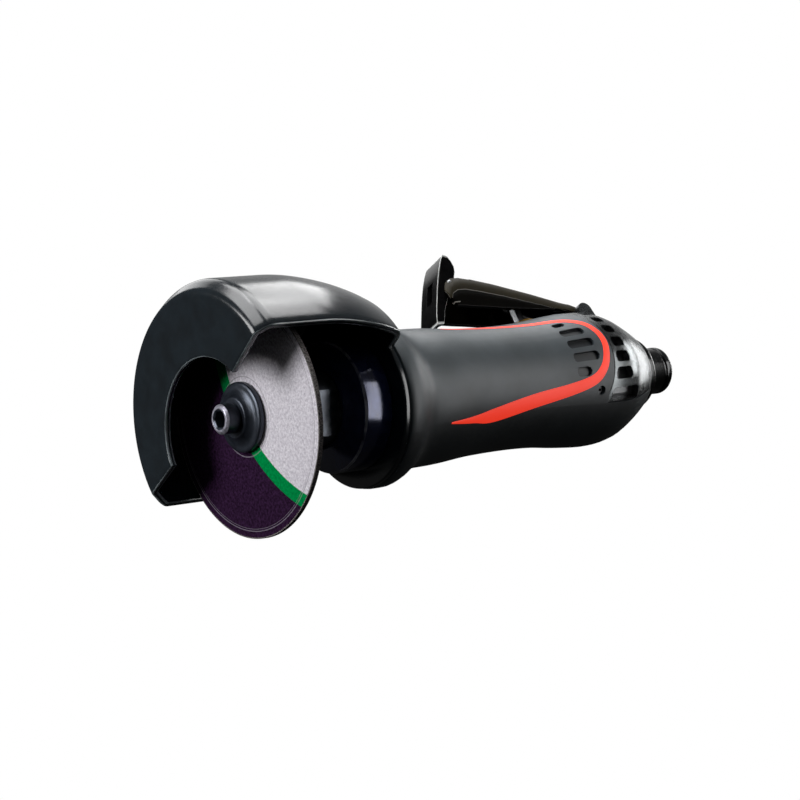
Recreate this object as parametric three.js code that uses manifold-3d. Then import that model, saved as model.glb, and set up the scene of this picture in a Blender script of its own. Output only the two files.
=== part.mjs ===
// A pneumatic in-line cut-off grinder: a thin disc under a half guard, on a vane motor in a round
// barrel with a lever throttle on top and the air inlet at the rear end.
// Lengths are millimetres. Along the tool, X runs from the disc towards the air inlet and is counted
// from the middle of the disc; Z points up at the lever. The origin of the finished group is the
// floor of the hex socket in the disc screw.
import * as THREE from "three";
import { mergeVertices } from "three/addons/utils/BufferGeometryUtils.js";
import Module from "manifold-3d";

const wasm = await Module();
wasm.setup();

// Clearances and the overrun of every cut
const GAP = 0.3;
const RUN = 0.35;
const OVER = 2;

// Roundness: how many flats a full turn has
const FINE = 36;
const ROUND = 24;
const SMALL = 16;
const TINY = 8;

const HEXAGON = 6;

const TURN = 2 * Math.PI;
const FULL_TURN = 360;
const HALF_TURN = 180;
const DEGREE = Math.PI / HALF_TURN;

// The disc and what clamps it
const disc = { radius: 38, thickness: 1.6, bore: 4.9 };
const washer = { radius: 11, rim: 1.7, length: 4.2, crown: 6.4, bore: 3.4 };
const screw = { shank: 3, length: 13, head: 4.7, headLength: 4.9, chamfer: 0.7, socketFlats: 5,
  socketDepth: 3.5 };
const drive = {
  flange: 11, flangeLength: 3, neck: 8.2, neckEnd: 15, body: 12, end: 31, flats: 9.5, flatsEnd: 28.6,
  pilot: 4.6, pilotLength: 0.7, flatTurn: -35, thread: 3.3, rearBore: 5.3, rearBoreStart: 17,
};

// The guard: a hood round the upper half of the disc, closed behind by a ring on the barrel's nose
const guard = {
  discRoom: 3.2, wall: 2.2, front: -16.3, shoulder: 4.8, taperStart: 12, rear: 43.4, rearRadius: 34,
  ringRadius: 27.2, cutout: 24, cutoutDrop: 5, mouthStart: 187, lipStart: 191.5, mouthEnd: 372,
  cornerSteps: 3,
};
const hoodRadius = disc.radius + guard.discRoom + guard.wall;
// Share of the way from the start of the taper to the guard's rear, and of the fall in radius
const hoodTaperShares = [[0.27, 0.14], [0.54, 0.36], [0.78, 0.62], [0.95, 0.86]];

// The clamp nut on the nose: its face bears on the front of the barrel, and its rear meets the guard
const nut = { wall: 1.9, front: 27.5, cone: 3.3, frontRadius: 13, bore: 12.4, face: 32, edge: 0.6 };

// The barrel's metal body
const housing = { spigot: 19, bore: 17, boreRoom: 2.6, flange: 22, flangeLength: 3.3, skin: 19.4, end: 136,
  noseGap: 1.2 };
const spigotStart = nut.face + housing.noseGap;
const shoulder = guard.rear + GAP;
const flangeEnd = shoulder + housing.flangeLength;
const guardBore = housing.spigot + RUN;
const nutThread = housing.spigot + GAP;
const nutRadius = nutThread + nut.wall;
// The air ways drilled in the barrel's metal body
const airWay = { motorFeed: 2.5, motorFeedHeight: 5.5, inletFeed: 3, inletDrop: 7, exhaust: 2.2,
  exhaustPitch: 13.6 };
const exhaustWayAngles = [0, 32, -32, 180, 148, 212];

// The rubbery grip: stations along X and the radius there
const grip = {
  rim: 27.6, waist: 21, swell: 23.4, tail: 14.4, end: 163, wall: 1.7, edge: 0.8,
  rimLength: 4.6, neckLength: 9.1, waistAt: 102, swellAt: 139,
};
const gripStart = guard.rear + RUN;
const gripBore = housing.skin + GAP;
const rimEnd = gripStart + grip.rimLength;
const neckStart = rimEnd + grip.neckLength;
const gripFlareShares = [[0.33, 0.3], [0.67, 0.74], [1, 1]];
const neckRadius = 23.2;
const gripBarrelShares = [[0.3, 0.3], [0.6, 0.8], [1, 1]];
const gripSwellShares = [[0.35, 0.18], [0.7, 0.74], [1, 1]];
const gripTailShares = [[0.22, 0.05], [0.42, 0.18], [0.6, 0.4], [0.78, 0.65], [0.9, 0.83], [1, 1]];

// The edge of the grip that leaves the metal rear cap bare, and the grip slots and stripe on each side
const bare = { sideStart: 138, sideAngle: 6, fall: 6, lowAngle: -48, margin: 0.5, steps: 16 };
const slot = { depth: 1.1, start: 120.8 };
// The slots on one side: the angle of each, its height and where it ends along the tool
const gripSlots = [
  [-19, 3.4, 127], [-5.8, 3.4, 131.9], [7.4, 3.4, 131.9], [20.6, 3.4, 131], [32.6, 2.4, 126.1],
];
const stripe = { width: 5.1, depth: 0.9, proud: 0.12, steps: 28, noseAt: 136.2, tailAt: 64.5,
  halfAngle: 50 };
// Along the stripe, from the tail's tip round the nose: shares of its length, half angle and width
const stripeShares = [
  [1, -0.99, 0.12], [0.86, -0.99, 0.5], [0.714, -0.966, 0.98], [0.478, -0.806, 0.96], [0.255, -0.668, 0.8],
  [0.122, -0.54, 0.68], [0.056, -0.36, 0.58], [0.018, -0.12, 0.5], [0, 0.12, 0.48], [0.01, 0.38, 0.46],
  [0.052, 0.62, 0.44], [0.143, 0.79, 0.42], [0.338, 0.92, 0.4], [0.56, 1.02, 0.36], [0.81, 1.08, 0.12],
];

// The metal rear cap with its windows, the screen behind them and the lever's ears
const cap = { start: 136.3, end: 163, wallFront: 3.4, cavityEnd: 152, core: 11, throat: 8 };
// The cap's windows on one side: where each starts and ends along the tool, its angle and its width
const capWindows = [
  [134.9, 149.2, -41, 4.6], [137, 146, -23.5, 4.2], [138.6, 146, -9, 4.1], [139.6, 145.8, 5, 4],
    [139.6, 145.2, 19.5, 3.8],
  [139.4, 144.6, 34, 3.6], [139.2, 144, 49, 3.4],
];
const screen = { radius: 18.1, wall: 0.8 };
const cavity = screen.radius + GAP;
const ear = { inner: 7.4, outer: 9.6, radius: 3, foot: 15, reach: 1.5, room: 8 };

// The air inlet
const inlet = {
  start: 150.4, threadEnd: 163, thread: 8.7, barrel: 8.3, end: 181, chamfer: 1.5, bore: 5.4, boreDepth: 24,
  throat: 3.4, groove: 0.5, grooveAt: 176.2, grooveWidth: 1.1,
};
const lockRing = { start: 163.3, end: 169.6, radius: 12.7, rearRadius: 9.9, flange: 3.2 };
const strainer = { radius: 5.1, thickness: 0.8, hole: 0.55, pitch: 1.9, seat: 1.2 };

// The vane motor
const motor = {
  outer: 16.7, bore: 12.3, offset: 1.4, start: 46.3, length: 32, rotor: 10.5, shaft: 5, rearShaft: 4,
  slotWidth: 1.6, slotFloor: 5.6, vane: 1.15, vanes: 5, endGap: 0.35, ports: 3, portWidth: 5,
    channelDepth: 1.5, channelWidth: 9,
};
const plate = { wall: 2.7 };
const frontBearing = { inner: 5.3, innerWall: 1.6, outer: 13, outerWall: 1.8, width: 8, balls: 8,
  ball: 1.9 };
const rearBearing = { inner: 4.3, innerWall: 1.5, outer: 11, outerWall: 1.6, width: 7, balls: 7,
  ball: 1.6 };
const cage = 0.9;
const groove = { span: 112, steps: 4 };
const ballSides = 6;
const ballRings = 4;
const waveWasher = { thickness: 0.9, inner: 9.5 };
const gasket = { thickness: 1, inner: 12.2 };
const seal = { thickness: 1.4, inner: 5.4, outer: 16.5 };
const dowel = { radius: 1.2, room: 2.1, bite: 1.6 };

// The throttle: pin and valve, seat, spring and plug, all on one upright bore
const throttle = {
  at: 126, pin: 2.1, rise: 11.9, crown: 1.3, head: 4.5, headThickness: 2.4, guideBore: 2.5, chamber: 4.6,
    chamberTop: 8.5,
  bore: 6, boreTop: 2.6,
};
const seat = { inner: 3.1, bottom: 0.3, height: 2 };
const valveSpring = { radius: 3.6, wire: 0.8, turns: 6 };
const plug = { top: -14, radius: 5.7, bottom: -21.6, slotWidth: 1.4, slotDepth: 1.6 };
const bushing = { outer: 4, flange: 5, flangeThickness: 1, length: 6 };

// The lever: its pivot, and stations along X with the height of its arched back and of its lower edges
// above the pivot
const lever = {
  pivotAt: 149, pivotRoom: 1.1, halfWidth: 7, wall: 1.5, eye: 2.6, arch: 7, rearArch: 5, roomEnd: 144.6, notchEnd: 108,
};
const pivotHeight = screen.radius + lever.eye + lever.pivotRoom;
const leverStations = [
  [94, 17, 10.7], [95.6, 19.8, 7.5], [98.5, 21.3, 7.2], [102, 21.3, 6.7], [106.5, 20.3, 6.2],
  [117.2, 17.3, 4.8], [132.4, 12.2, 3.2], [143.5, 8.1, 2.3], [146.6, 6.8, 0.4], [150.6, 4.8, -1.4],
  [151.7, 3, -1],
].map(([x, back, low]) => [x, pivotHeight + back, pivotHeight + low]);
const leverPin = { radius: 1.5, halfLength: 9.4 };

// The lock-off catch hinged in the lever's front end, its pin and its spring
const latch = { pivotAt: 97.4, rise: 17, halfWidth: 5.1, wall: 1.3 };
const latchHeight = pivotHeight + latch.rise;
// Points given from the catch's own pivot
const placed = (points) => points.map(([x, z]) => [latch.pivotAt + x, latchHeight + z]);
// The front line of its web from the foot to the peak, and the rear line of its cheeks back down
const latchFront = placed([
  [-12.4, -15.2], [-11.1, -11.8], [-9.2, -8], [-5.5, -0.8], [-2.4, 4.6], [0.3, 8.7], [2.6, 11.4],
]);
const latchRear = placed([
  [4.4, 10.6], [5.6, 7], [4.6, 3.7], [3, 1.6], [2.3, -1.6], [-1.2, -3.2], [-6.4, -9.8], [-9.4, -15.2],
]);
const latchWindow = { drop: 5.2, rise: 1.6, halfWidth: 1.7, depth: 8 };
const latchPin = { radius: 1, halfLength: 6.3 };
const latchSpring = { radius: 2.1, wire: 0.6, turns: 3, room: 1.2 };
const lockScrew = { radius: 1.3, at: 130.4, angle: -36.5, length: 5, sink: 1, socket: 0.6 };

// Colours
const colours = {
  guard: [0x15191c, 0.42, 0.1], black: [0x0b0c0e, 0.3, 0.3], nut: [0x10131c, 0.18, 0.75],
    grip: [0x363d41, 0.6, 0],
  stripe: [0xff4030, 0.5, 0], steel: [0x8d9094, 0.35, 0.9], disc: [0xb7b3b8, 0.9, 0],
    screwSteel: [0x3a3f45, 0.3, 0.8],
  cap: [0x5c5f60, 0.3, 0.8], brass: [0xb08d4a, 0.35, 0.9], rubber: [0x17181a, 0.8, 0],
    fibre: [0x6b4a2c, 0.7, 0],
  mesh: [0x2c2d2e, 0.6, 0.5], lever: [0x17140c, 0.3, 0.3], castIron: [0x6a6c6e, 0.5, 0.8],
    drive: [0x55585b, 0.35, 0.8],
};

// A closed geometry becomes a solid facing out
function solidOf(geometry) {
  const bare = new THREE.BufferGeometry();
  bare.setAttribute("position", geometry.getAttribute("position"));
  if (geometry.index) bare.setIndex(geometry.index);
  const merged = mergeVertices(bare, 1e-4);
  const build = (order) => new wasm.Manifold(new wasm.Mesh({
    numProp: 3, vertProperties: merged.attributes.position.array, triVerts: order,
  }));
  const order = new Uint32Array(merged.index.array);
  const made = build(order);
  if (made.volume() >= 0) return made;
  return build(order.map((_, i, all) => all[i - (i % 3) + 2 - (i % 3)]));
}

// A ring or rod turned about the tool's axis: the outline is a list of [x, radius]
function turned(outline, flats = ROUND) {
  const points = outline.map(([x, radius]) => new THREE.Vector2(radius, x));
  if (outline.every(([, radius]) => radius > 0)) points.push(points[0].clone());
  return solidOf(new THREE.LatheGeometry(points, flats).rotateZ(-TURN / 4));
}

// A plain rod or tube along X between two places
function rod(from, to, radius, flats = SMALL) {
  return turned([[from, 0], [from, radius], [to, radius], [to, 0]], flats);
}

function tube(from, to, inner, outer, flats = SMALL) {
  return turned([[from, inner], [from, outer], [to, outer], [to, inner]], flats);
}

// Rods along Z and Y
function post(x, y, from, to, radius, flats = SMALL) {
  return rod(from, to, radius, flats).rotate([0, -90, 0]).translate([x, y, 0]);
}

function crossRod(x, z, halfLength, radius, flats = SMALL) {
  return rod(-halfLength, halfLength, radius, flats).rotate([0, 0, 90]).translate([x, 0, z]);
}

function block(low, high) {
  const [x, y, z] = high.map((value, i) => value - low[i]);
  const centre = high.map((value, i) => (value + low[i]) / 2);
  return solidOf(new THREE.BoxGeometry(x, y, z).translate(...centre));
}

// An outline in the XZ plane, extruded to the same distance on both sides
function sidePlate(outline, halfWidth) {
  const shape = new THREE.Shape(outline.map(([x, z]) => new THREE.Vector2(x, z)));
  const geometry = new THREE.ExtrudeGeometry(shape, { depth: 2 * halfWidth, bevelEnabled: false });
  return solidOf(geometry.translate(0, 0, -halfWidth).rotateX(TURN / 4));
}

// Equal turns of an arc, from 0 to its whole sweep
const halfRoundSteps = 6;

function turnsOf(sweep, steps) {
  return Array.from({ length: steps + 1 }, (_, i) => (sweep * i) / steps);
}

// The upper half of a circle in the XZ plane, from its rear to its front
function halfRound(x, z, radius) {
  return turnsOf(TURN / 2, halfRoundSteps).map((turn) => [x + radius * Math.cos(turn),
    z + radius * Math.sin(turn)]);
}

// A point on a cylinder round the tool's axis. The angle is 0 at the near side (-Y) and 90 on top
function around(x, angle, radius) {
  return [x, -radius * Math.cos(angle * DEGREE), radius * Math.sin(angle * DEGREE)];
}

// A closed bar through stations of four corners each
function bar(stations, closed = false) {
  const corners = stations[0].length;
  const index = [];
  const at = (i, k) => (i % stations.length) * corners + (k % corners);
  const spans = closed ? stations.length : stations.length - 1;
  for (let i = 0; i < spans; i++)
    for (let k = 0; k < corners; k++)
      index.push(at(i, k), at(i + 1, k), at(i + 1, k + 1), at(i, k), at(i + 1, k + 1), at(i, k + 1));
  if (!closed)
    for (let k = 1; k < corners - 1; k++) {
      index.push(at(0, 0), at(0, k), at(0, k + 1));
      index.push(at(spans, 0), at(spans, k + 1), at(spans, k));
    }
  const geometry = new THREE.BufferGeometry();
  geometry.setAttribute("position", new THREE.Float32BufferAttribute(stations.flat(2), 3));
  geometry.setIndex(index);
  return solidOf(geometry);
}

// A block that follows the barrel's curve between two angles, with its own X limits at each angle
function curvedBlock(fromAngle, toAngle, steps, limits, inner, outer) {
  const stations = [];
  for (let i = 0; i <= steps; i++) {
    const angle = fromAngle + ((toAngle - fromAngle) * i) / steps;
    const [from, to] = limits(angle);
    stations.push([around(from, angle, inner), around(to, angle, inner), around(to, angle, outer),
      around(from, angle, outer)]);
  }
  return bar(stations);
}

// A coil spring along Z: how many sides its wire has, and how many stations one turn
const wireSides = 4;
const perTurn = 9;

function coil(radius, wire, turns, from, to) {
  const stations = [];
  for (let i = 0; i <= turns * perTurn; i++) {
    const turn = (TURN * i) / perTurn;
    const height = from + wire / 2 + ((to - from - wire) * i) / (turns * perTurn);
    const section = [];
    for (let k = 0; k < wireSides; k++) {
      const tilt = (TURN * k) / wireSides;
      const reach = radius + (wire / 2) * Math.cos(tilt);
      section.push([reach * Math.cos(turn), reach * Math.sin(turn), height + (wire / 2) * Math.sin(tilt)]);
    }
    stations.push(section);
  }
  return bar(stations);
}

// The radius of the grip's outside at any place along the tool
function gripOutline() {
  const points = [[gripStart, grip.rim - grip.edge], [gripStart + grip.edge, grip.rim], [rimEnd, grip.rim]];
  const run = (shares, from, to, r0, r1) =>
    shares.forEach(([along, fall]) => points.push([from + along * (to - from), r0 + fall * (r1 - r0)]));
  run(gripFlareShares, rimEnd, neckStart, grip.rim, neckRadius);
  run(gripBarrelShares, neckStart, grip.waistAt, neckRadius, grip.waist);
  run(gripSwellShares, grip.waistAt, grip.swellAt, grip.waist, grip.swell);
  run(gripTailShares, grip.swellAt, grip.end, grip.swell, grip.tail);
  return points;
}
const gripPoints = gripOutline();

function gripRadius(x) {
  const next = gripPoints.findIndex(([place]) => place >= x);
  if (next <= 0) return gripPoints[next === 0 ? 0 : gripPoints.length - 1][1];
  const [[x0, r0], [x1, r1]] = [gripPoints[next - 1], gripPoints[next]];
  return x1 === x0 ? r1 : r0 + ((r1 - r0) * (x - x0)) / (x1 - x0);
}

// The surface between the grip's tail and the cap, a wall's thickness below the outside
function tailPoints(inset) {
  const inner = gripPoints.filter(([x], i) => x > cap.start && x < grip.end && i % 2 === 0);
  return [cap.start, ...inner.map(([x]) => x), grip.end].map((x) => [x, gripRadius(x) - inset]);
}

// Where the grip ends and the bare metal cap begins, at any angle round the tool
function bareStart(angle) {
  const side = (angle > HALF_TURN / 2 ? HALF_TURN - angle : angle) - bare.sideAngle;
  if (side > 0) return bare.sideStart - bare.fall * Math.sin(side * DEGREE) ** 2;
  return bare.sideStart - bare.fall * (side / (bare.lowAngle - bare.sideAngle)) ** 2;
}

// The bare region as a block from the grip's edge to the rear, set in by a margin on all sides
function bareRegion(margin, inner, outer) {
  const low = bare.lowAngle + (margin / grip.tail) / DEGREE;
  return curvedBlock(low, HALF_TURN - low, bare.steps,
    (angle) => [bareStart(angle) + margin, grip.end + OVER], inner, outer);
}

// The middle of the stripe and its half width, at a share of the way along its curve
const stripeCurve = new THREE.CatmullRomCurve3(stripeShares.map((shares) => new THREE.Vector3(...shares)));

function stripeAt(share) {
  const { x, y, z } = stripeCurve.getPoint(share);
  return { x: stripe.noseAt - x * (stripe.noseAt - stripe.tailAt), angle: y * stripe.halfAngle,
    half: (z * stripe.width) / 2 };
}

// One stripe inlay, or the groove for it when it is grown by a clearance
function stripeBar(grow, inner, outer, mirror) {
  const stations = [];
  for (let i = 0; i <= stripe.steps; i++) {
    const here = stripeAt(i / stripe.steps);
    const before = stripeAt(Math.max(0, i - 1) / stripe.steps);
    const after = stripeAt(Math.min(stripe.steps, i + 1) / stripe.steps);
    const arc = gripRadius(here.x) * DEGREE;
    const along = new THREE.Vector2(after.x - before.x, (after.angle - before.angle) * arc).normalize();
    const corner = (side, depth) => {
      const reach = side * (here.half + grow);
      const x = here.x - reach * along.y;
      const point = around(x, here.angle + (reach * along.x) / arc, gripRadius(x) + depth);
      return mirror ? [point[0], -point[1], point[2]] : point;
    };
    stations.push([corner(-1, inner), corner(1, inner), corner(1, outer), corner(-1, outer)]);
  }
  return bar(stations);
}

// The disc and its clamping pieces
const discFace = disc.thickness / 2;
const washerBack = -discFace - GAP;
const washerFront = washerBack - washer.length;
const screwSeat = washerFront - GAP;
const screwEnd = screwSeat - screw.headLength;
const socketFloor = screwEnd + screw.socketDepth;
const driveFace = discFace + GAP;

function makeDisc() {
  return tube(-discFace, discFace, disc.bore, disc.radius, FINE);
}

function makeWasher() {
  return turned([
    [washerBack, washer.bore], [washerBack, washer.radius], [washerBack - washer.rim, washer.radius],
    [washerBack - washer.rim - GAP, washer.radius - 2 * GAP],
      [(washerBack + washerFront) / 2, (washer.radius + washer.crown) / 2],
    [washerFront + GAP, washer.crown + GAP], [washerFront, washer.crown], [washerFront, washer.bore],
  ]);
}

function makeScrew() {
  const body = turned([
    [screwEnd, 0], [screwEnd, screw.head - screw.chamfer], [screwEnd + screw.chamfer, screw.head],
      [screwSeat, screw.head],
    [screwSeat, screw.shank], [screw.length, screw.shank], [screw.length, 0],
  ]);
  const corner = screw.socketFlats / Math.sqrt(3);
  return body.subtract(rod(screwEnd - OVER, socketFloor, corner, HEXAGON));
}

function makeDrive() {
  const body = turned([
    [driveFace - drive.pilotLength - GAP, drive.thread], [driveFace - drive.pilotLength - GAP, drive.pilot],
    [driveFace, drive.pilot], [driveFace, drive.flange], [driveFace + drive.flangeLength, drive.flange],
    [driveFace + drive.flangeLength + GAP, drive.neck], [drive.neckEnd, drive.neck],
      [drive.neckEnd + GAP, drive.body],
    [drive.end, drive.body], [drive.end, drive.rearBore], [drive.rearBoreStart, drive.rearBore],
    [drive.rearBoreStart, drive.thread],
  ]);
  const flat = (side) => {
    const low = side > 0 ? drive.flats : -drive.body - OVER;
    const high = side > 0 ? drive.body + OVER : -drive.flats;
    return block([drive.neckEnd, low, -drive.body - OVER], [drive.flatsEnd, high, drive.body + OVER]);
  };
  return body.subtract(flat(1).add(flat(-1)).rotate([-drive.flatTurn, 0, 0]));
}

// The guard
function makeGuard() {
  const fall = hoodRadius - guard.rearRadius;
  const back = guard.rear - guard.taperStart;
  const taper = (inset) => hoodTaperShares.map(([along, down]) =>
    [guard.taperStart + along * (back - inset), hoodRadius - inset - down * fall]);
  const corner = (inset) => turnsOf(TURN / 4, guard.cornerSteps).map((turn) => {
    const reach = guard.shoulder - inset;
    return [guard.front + guard.shoulder - reach * Math.cos(turn),
      hoodRadius - guard.shoulder + reach * Math.sin(turn)];
  });
  const outline = [
    [guard.front, guardBore], ...corner(0), [guard.taperStart, hoodRadius], ...taper(0),
      [guard.rear, guard.rearRadius],
    [guard.rear, guardBore], [guard.rear - guard.wall, guardBore],
    [guard.rear - guard.wall, guard.rearRadius - guard.wall / 2],
    ...taper(guard.wall).reverse(), [guard.taperStart, hoodRadius - guard.wall],
      ...corner(guard.wall).reverse(),
    [guard.front + guard.wall, guardBore],
  ];
  // A wedge round the axis, from one angle to the mouth's end
  const reach = 2 * (hoodRadius + OVER);
  const middle = (guard.mouthStart + guard.mouthEnd) / 2;
  const wedge = (from, to, startAngle) => {
    const section = (x) => [around(x, startAngle, 0), around(x, startAngle, reach),
      around(x, middle, reach),
      around(x, guard.mouthEnd, reach)];
    return bar([section(from), section(to)]);
  };
  const faceBack = guard.front + guard.wall;
  const ringStart = guard.rear - guard.wall - GAP;
  const cutout = rod(guard.front - OVER, faceBack + OVER, guard.cutout,
    FINE).translate([0, 0, -guard.cutoutDrop]);
  const keptRing = rod(ringStart - 2 * OVER, guard.rear + 2 * OVER, guard.ringRadius, FINE);
  return turned(outline, FINE)
    .subtract(wedge(guard.front - OVER, faceBack, guard.mouthStart))
    .subtract(wedge(faceBack - OVER, ringStart, guard.lipStart))
    .subtract(wedge(ringStart - OVER, guard.rear + OVER, guard.lipStart).subtract(keptRing))
    .subtract(cutout);
}

function makeNut() {
  const rear = guard.rear - guard.wall - GAP;
  return turned([
    [nut.front, nut.bore], [nut.front, nut.frontRadius],
      [nut.front + nut.cone - nut.edge, nutRadius - nut.edge],
    [nut.front + nut.cone, nutRadius], [rear, nutRadius], [rear, nutThread], [nut.face, nutThread],
      [nut.face, nut.bore],
  ], FINE);
}

// The metal body of the barrel
function makeHousing() {
  let body = turned([
    [spigotStart, 0], [spigotStart, housing.spigot], [shoulder, housing.spigot],
    [shoulder, housing.flange], [flangeEnd, housing.flange], [flangeEnd + GAP, housing.skin],
    [housing.end, housing.skin], [housing.end, 0],
  ]);
  const { at, guideBore, chamber, chamberTop, bore, boreTop } = throttle;
  const ways = [
    rod(spigotStart - OVER, boreEnd, housing.bore, ROUND),
    rod(boreEnd - OVER, at, airWay.motorFeed, TINY).translate([0, 0, airWay.motorFeedHeight]),
    rod(at, housing.end + OVER, airWay.inletFeed, TINY).translate([0, 0, -airWay.inletDrop]),
    post(at, 0, 0, housing.skin + OVER, guideBore, TINY),
    post(at, 0, 0, chamberTop, chamber, TINY),
    post(at, 0, -housing.skin - OVER, boreTop, bore),
    post(at, 0, housing.skin - bushing.length, housing.skin + OVER, bushing.outer + GAP),
    ...exhaustWayAngles.map((angle) => {
      const [, y, z] = around(0, angle, airWay.exhaustPitch);
      return rod(boreEnd - OVER, housing.end + OVER, airWay.exhaust, TINY).translate([0, y, z]);
    }),
    lockScrewRod(lockScrew.radius + GAP, lockScrew.length + GAP, OVER),
  ];
  return ways.reduce((rest, way) => rest.subtract(way), body);
}

// A radial rod at the lock screw's place, from below the skin outwards
function lockScrewRod(radius, depth, out) {
  const surface = gripRadius(lockScrew.at);
  const bottom = surface - lockScrew.sink - depth;
  return rod(bottom, surface - lockScrew.sink + out, radius, TINY).rotate([0, 0, -90])
    .rotate([-lockScrew.angle, 0, 0]).translate([lockScrew.at, 0, 0]);
}

function makeLockScrew() {
  const surface = gripRadius(lockScrew.at) - lockScrew.sink;
  const socket = rod(surface - lockScrew.radius, surface + OVER, lockScrew.socket,
    HEXAGON).rotate([0, 0, -90])
    .rotate([-lockScrew.angle, 0, 0]).translate([lockScrew.at, 0, 0]);
  return lockScrewRod(lockScrew.radius, lockScrew.length, 0).subtract(socket);
}

// The grip
function slotBlocks() {
  const inner = gripRadius(slot.start) - slot.depth;
  const blocks = gripSlots.map(([angle, height, end]) => {
    const half = height / 2 / grip.swell / DEGREE;
    return curvedBlock(angle - half, angle + half, 1, () => [slot.start, end], inner, grip.swell + OVER);
  });
  return [...blocks, ...blocks.map((place) => place.mirror([0, 1, 0]))];
}

function makeGrip() {
  const outer = turned([[gripStart, gripBore], ...gripPoints, ...tailPoints(grip.wall).reverse(),
    [cap.start, gripBore]], FINE);
  const flangePocket = tube(gripStart - OVER, flangeEnd + GAP, gripBore - OVER, housing.flange + GAP,
    ROUND);
  const cuts = [
    flangePocket,
    bareRegion(0, grip.tail - grip.wall - OVER, grip.swell + OVER),
    ...slotBlocks(),
    stripeBar(GAP / 2, -stripe.depth, OVER, false),
    stripeBar(GAP / 2, -stripe.depth, OVER, true),
    post(throttle.at, 0, 0, grip.swell + OVER, bushing.flange + GAP),
    post(throttle.at, 0, -grip.swell - OVER, 0, plug.radius + GAP),
    lockScrewRod(lockScrew.radius + GAP, lockScrew.length, lockScrew.sink + OVER),
  ];
  return cuts.reduce((rest, cut) => rest.subtract(cut), outer);
}

function makeStripe(mirror) {
  return stripeBar(0, GAP / 2 - stripe.depth, stripe.proud, mirror);
}

// The rear cap
function makeCap() {
  const flush = gripPoints.filter(([x]) => x > cap.start && x < cap.end);
  const shell = (inset) => [[cap.start, 0], [cap.start, gripRadius(cap.start) - inset],
    ...flush.map(([x, r]) => [x, r - inset]), [cap.end, gripRadius(cap.end) - inset], [cap.end, 0]];
  const low = turned([[cap.start, 0], ...tailPoints(grip.wall + GAP), [cap.end, 0]], FINE);
  const raised = turned(shell(GAP / 2), FINE).intersect(bareRegion(bare.margin,
    grip.tail - grip.wall - OVER, grip.swell + OVER));
  const height = pivotHeight;
  const left = lever.pivotAt - ear.radius;
  const right = lever.pivotAt + ear.radius;
  const sides = sidePlate([...halfRound(lever.pivotAt, height, ear.radius), [left - ear.reach, ear.foot],
    [right + ear.reach, ear.foot]], ear.outer);
  const tongueRoom = block(
    [lever.pivotAt - ear.room, -ear.inner, height - lever.eye - GAP],
    [lever.pivotAt + ear.room, ear.inner, height + ear.radius + OVER]);
  const windows = capWindows.map(([from, to, angle, width]) => {
    const half = width / 2 / grip.swell / DEGREE;
    return curvedBlock(angle - half, angle + half, 1, () => [from, to], cavity - OVER,
      grip.swell + OVER);
  });
  const frontEnd = cap.start + cap.wallFront;
  const cuts = [
    tongueRoom,
    tube(frontEnd, cap.cavityEnd, cap.core, cavity, ROUND),
    ...exhaustWayAngles.map((angle) => {
      const [, y, z] = around(0, angle, airWay.exhaustPitch);
      return rod(cap.start - OVER, frontEnd + OVER, airWay.exhaust, TINY).translate([0, y, z]);
    }),
    rod(inlet.start - GAP, cap.end + OVER, inlet.thread + GAP, ROUND),
    rod(frontEnd, inlet.start, cap.throat, ROUND),
    rod(cap.start - OVER, frontEnd + OVER, airWay.inletFeed,
      TINY).translate([0, 0, airWay.inletFeed - cap.throat - GAP]),
    ...windows, ...windows.map((opening) => opening.mirror([0, 1, 0])),
    crossRod(lever.pivotAt, height, ear.outer + OVER, leverPin.radius + RUN, TINY),
  ];
  return cuts.reduce((rest, cut) => rest.subtract(cut), low.add(raised).add(sides));
}

function makeScreen() {
  return tube(cap.start + cap.wallFront + GAP, cap.cavityEnd - GAP, screen.radius - screen.wall,
    screen.radius, ROUND);
}

// The air inlet
function makeInlet() {
  return turned([
    [inlet.start, inlet.throat], [inlet.start, inlet.thread], [inlet.threadEnd, inlet.thread],
    [inlet.threadEnd + GAP, inlet.barrel], [inlet.grooveAt, inlet.barrel],
      [inlet.grooveAt, inlet.barrel - inlet.groove],
    [inlet.grooveAt + inlet.grooveWidth, inlet.barrel - inlet.groove],
      [inlet.grooveAt + inlet.grooveWidth, inlet.barrel],
    [inlet.end - inlet.chamfer, inlet.barrel], [inlet.end, inlet.barrel - inlet.chamfer],
      [inlet.end, inlet.bore],
    [inlet.end - inlet.boreDepth, inlet.bore], [inlet.end - inlet.boreDepth, inlet.throat],
  ]);
}

function makeLockRing() {
  return turned([
    [lockRing.start, inlet.barrel + GAP], [lockRing.start, lockRing.radius],
      [lockRing.start + lockRing.flange, lockRing.radius],
    [lockRing.end - GAP, lockRing.rearRadius + GAP], [lockRing.end, lockRing.rearRadius],
      [lockRing.end, inlet.barrel + GAP],
  ]);
}

function makeStrainer() {
  const from = inlet.end - inlet.boreDepth + GAP;
  const holes = [];
  const reach = Math.floor(strainer.radius / strainer.pitch);
  for (let i = -reach; i <= reach; i++)
    for (let k = -reach; k <= reach; k++) {
      const centre = Math.hypot(i, k) * strainer.pitch;
      if (centre + strainer.hole + strainer.seat > strainer.radius) continue;
      holes.push(rod(from - OVER, from + OVER + strainer.thickness, strainer.hole, HEXAGON)
        .translate([0, i * strainer.pitch, k * strainer.pitch]));
    }
  return holes.reduce((rest, hole) => rest.subtract(hole),
    rod(from, from + strainer.thickness, strainer.radius));
}

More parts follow.
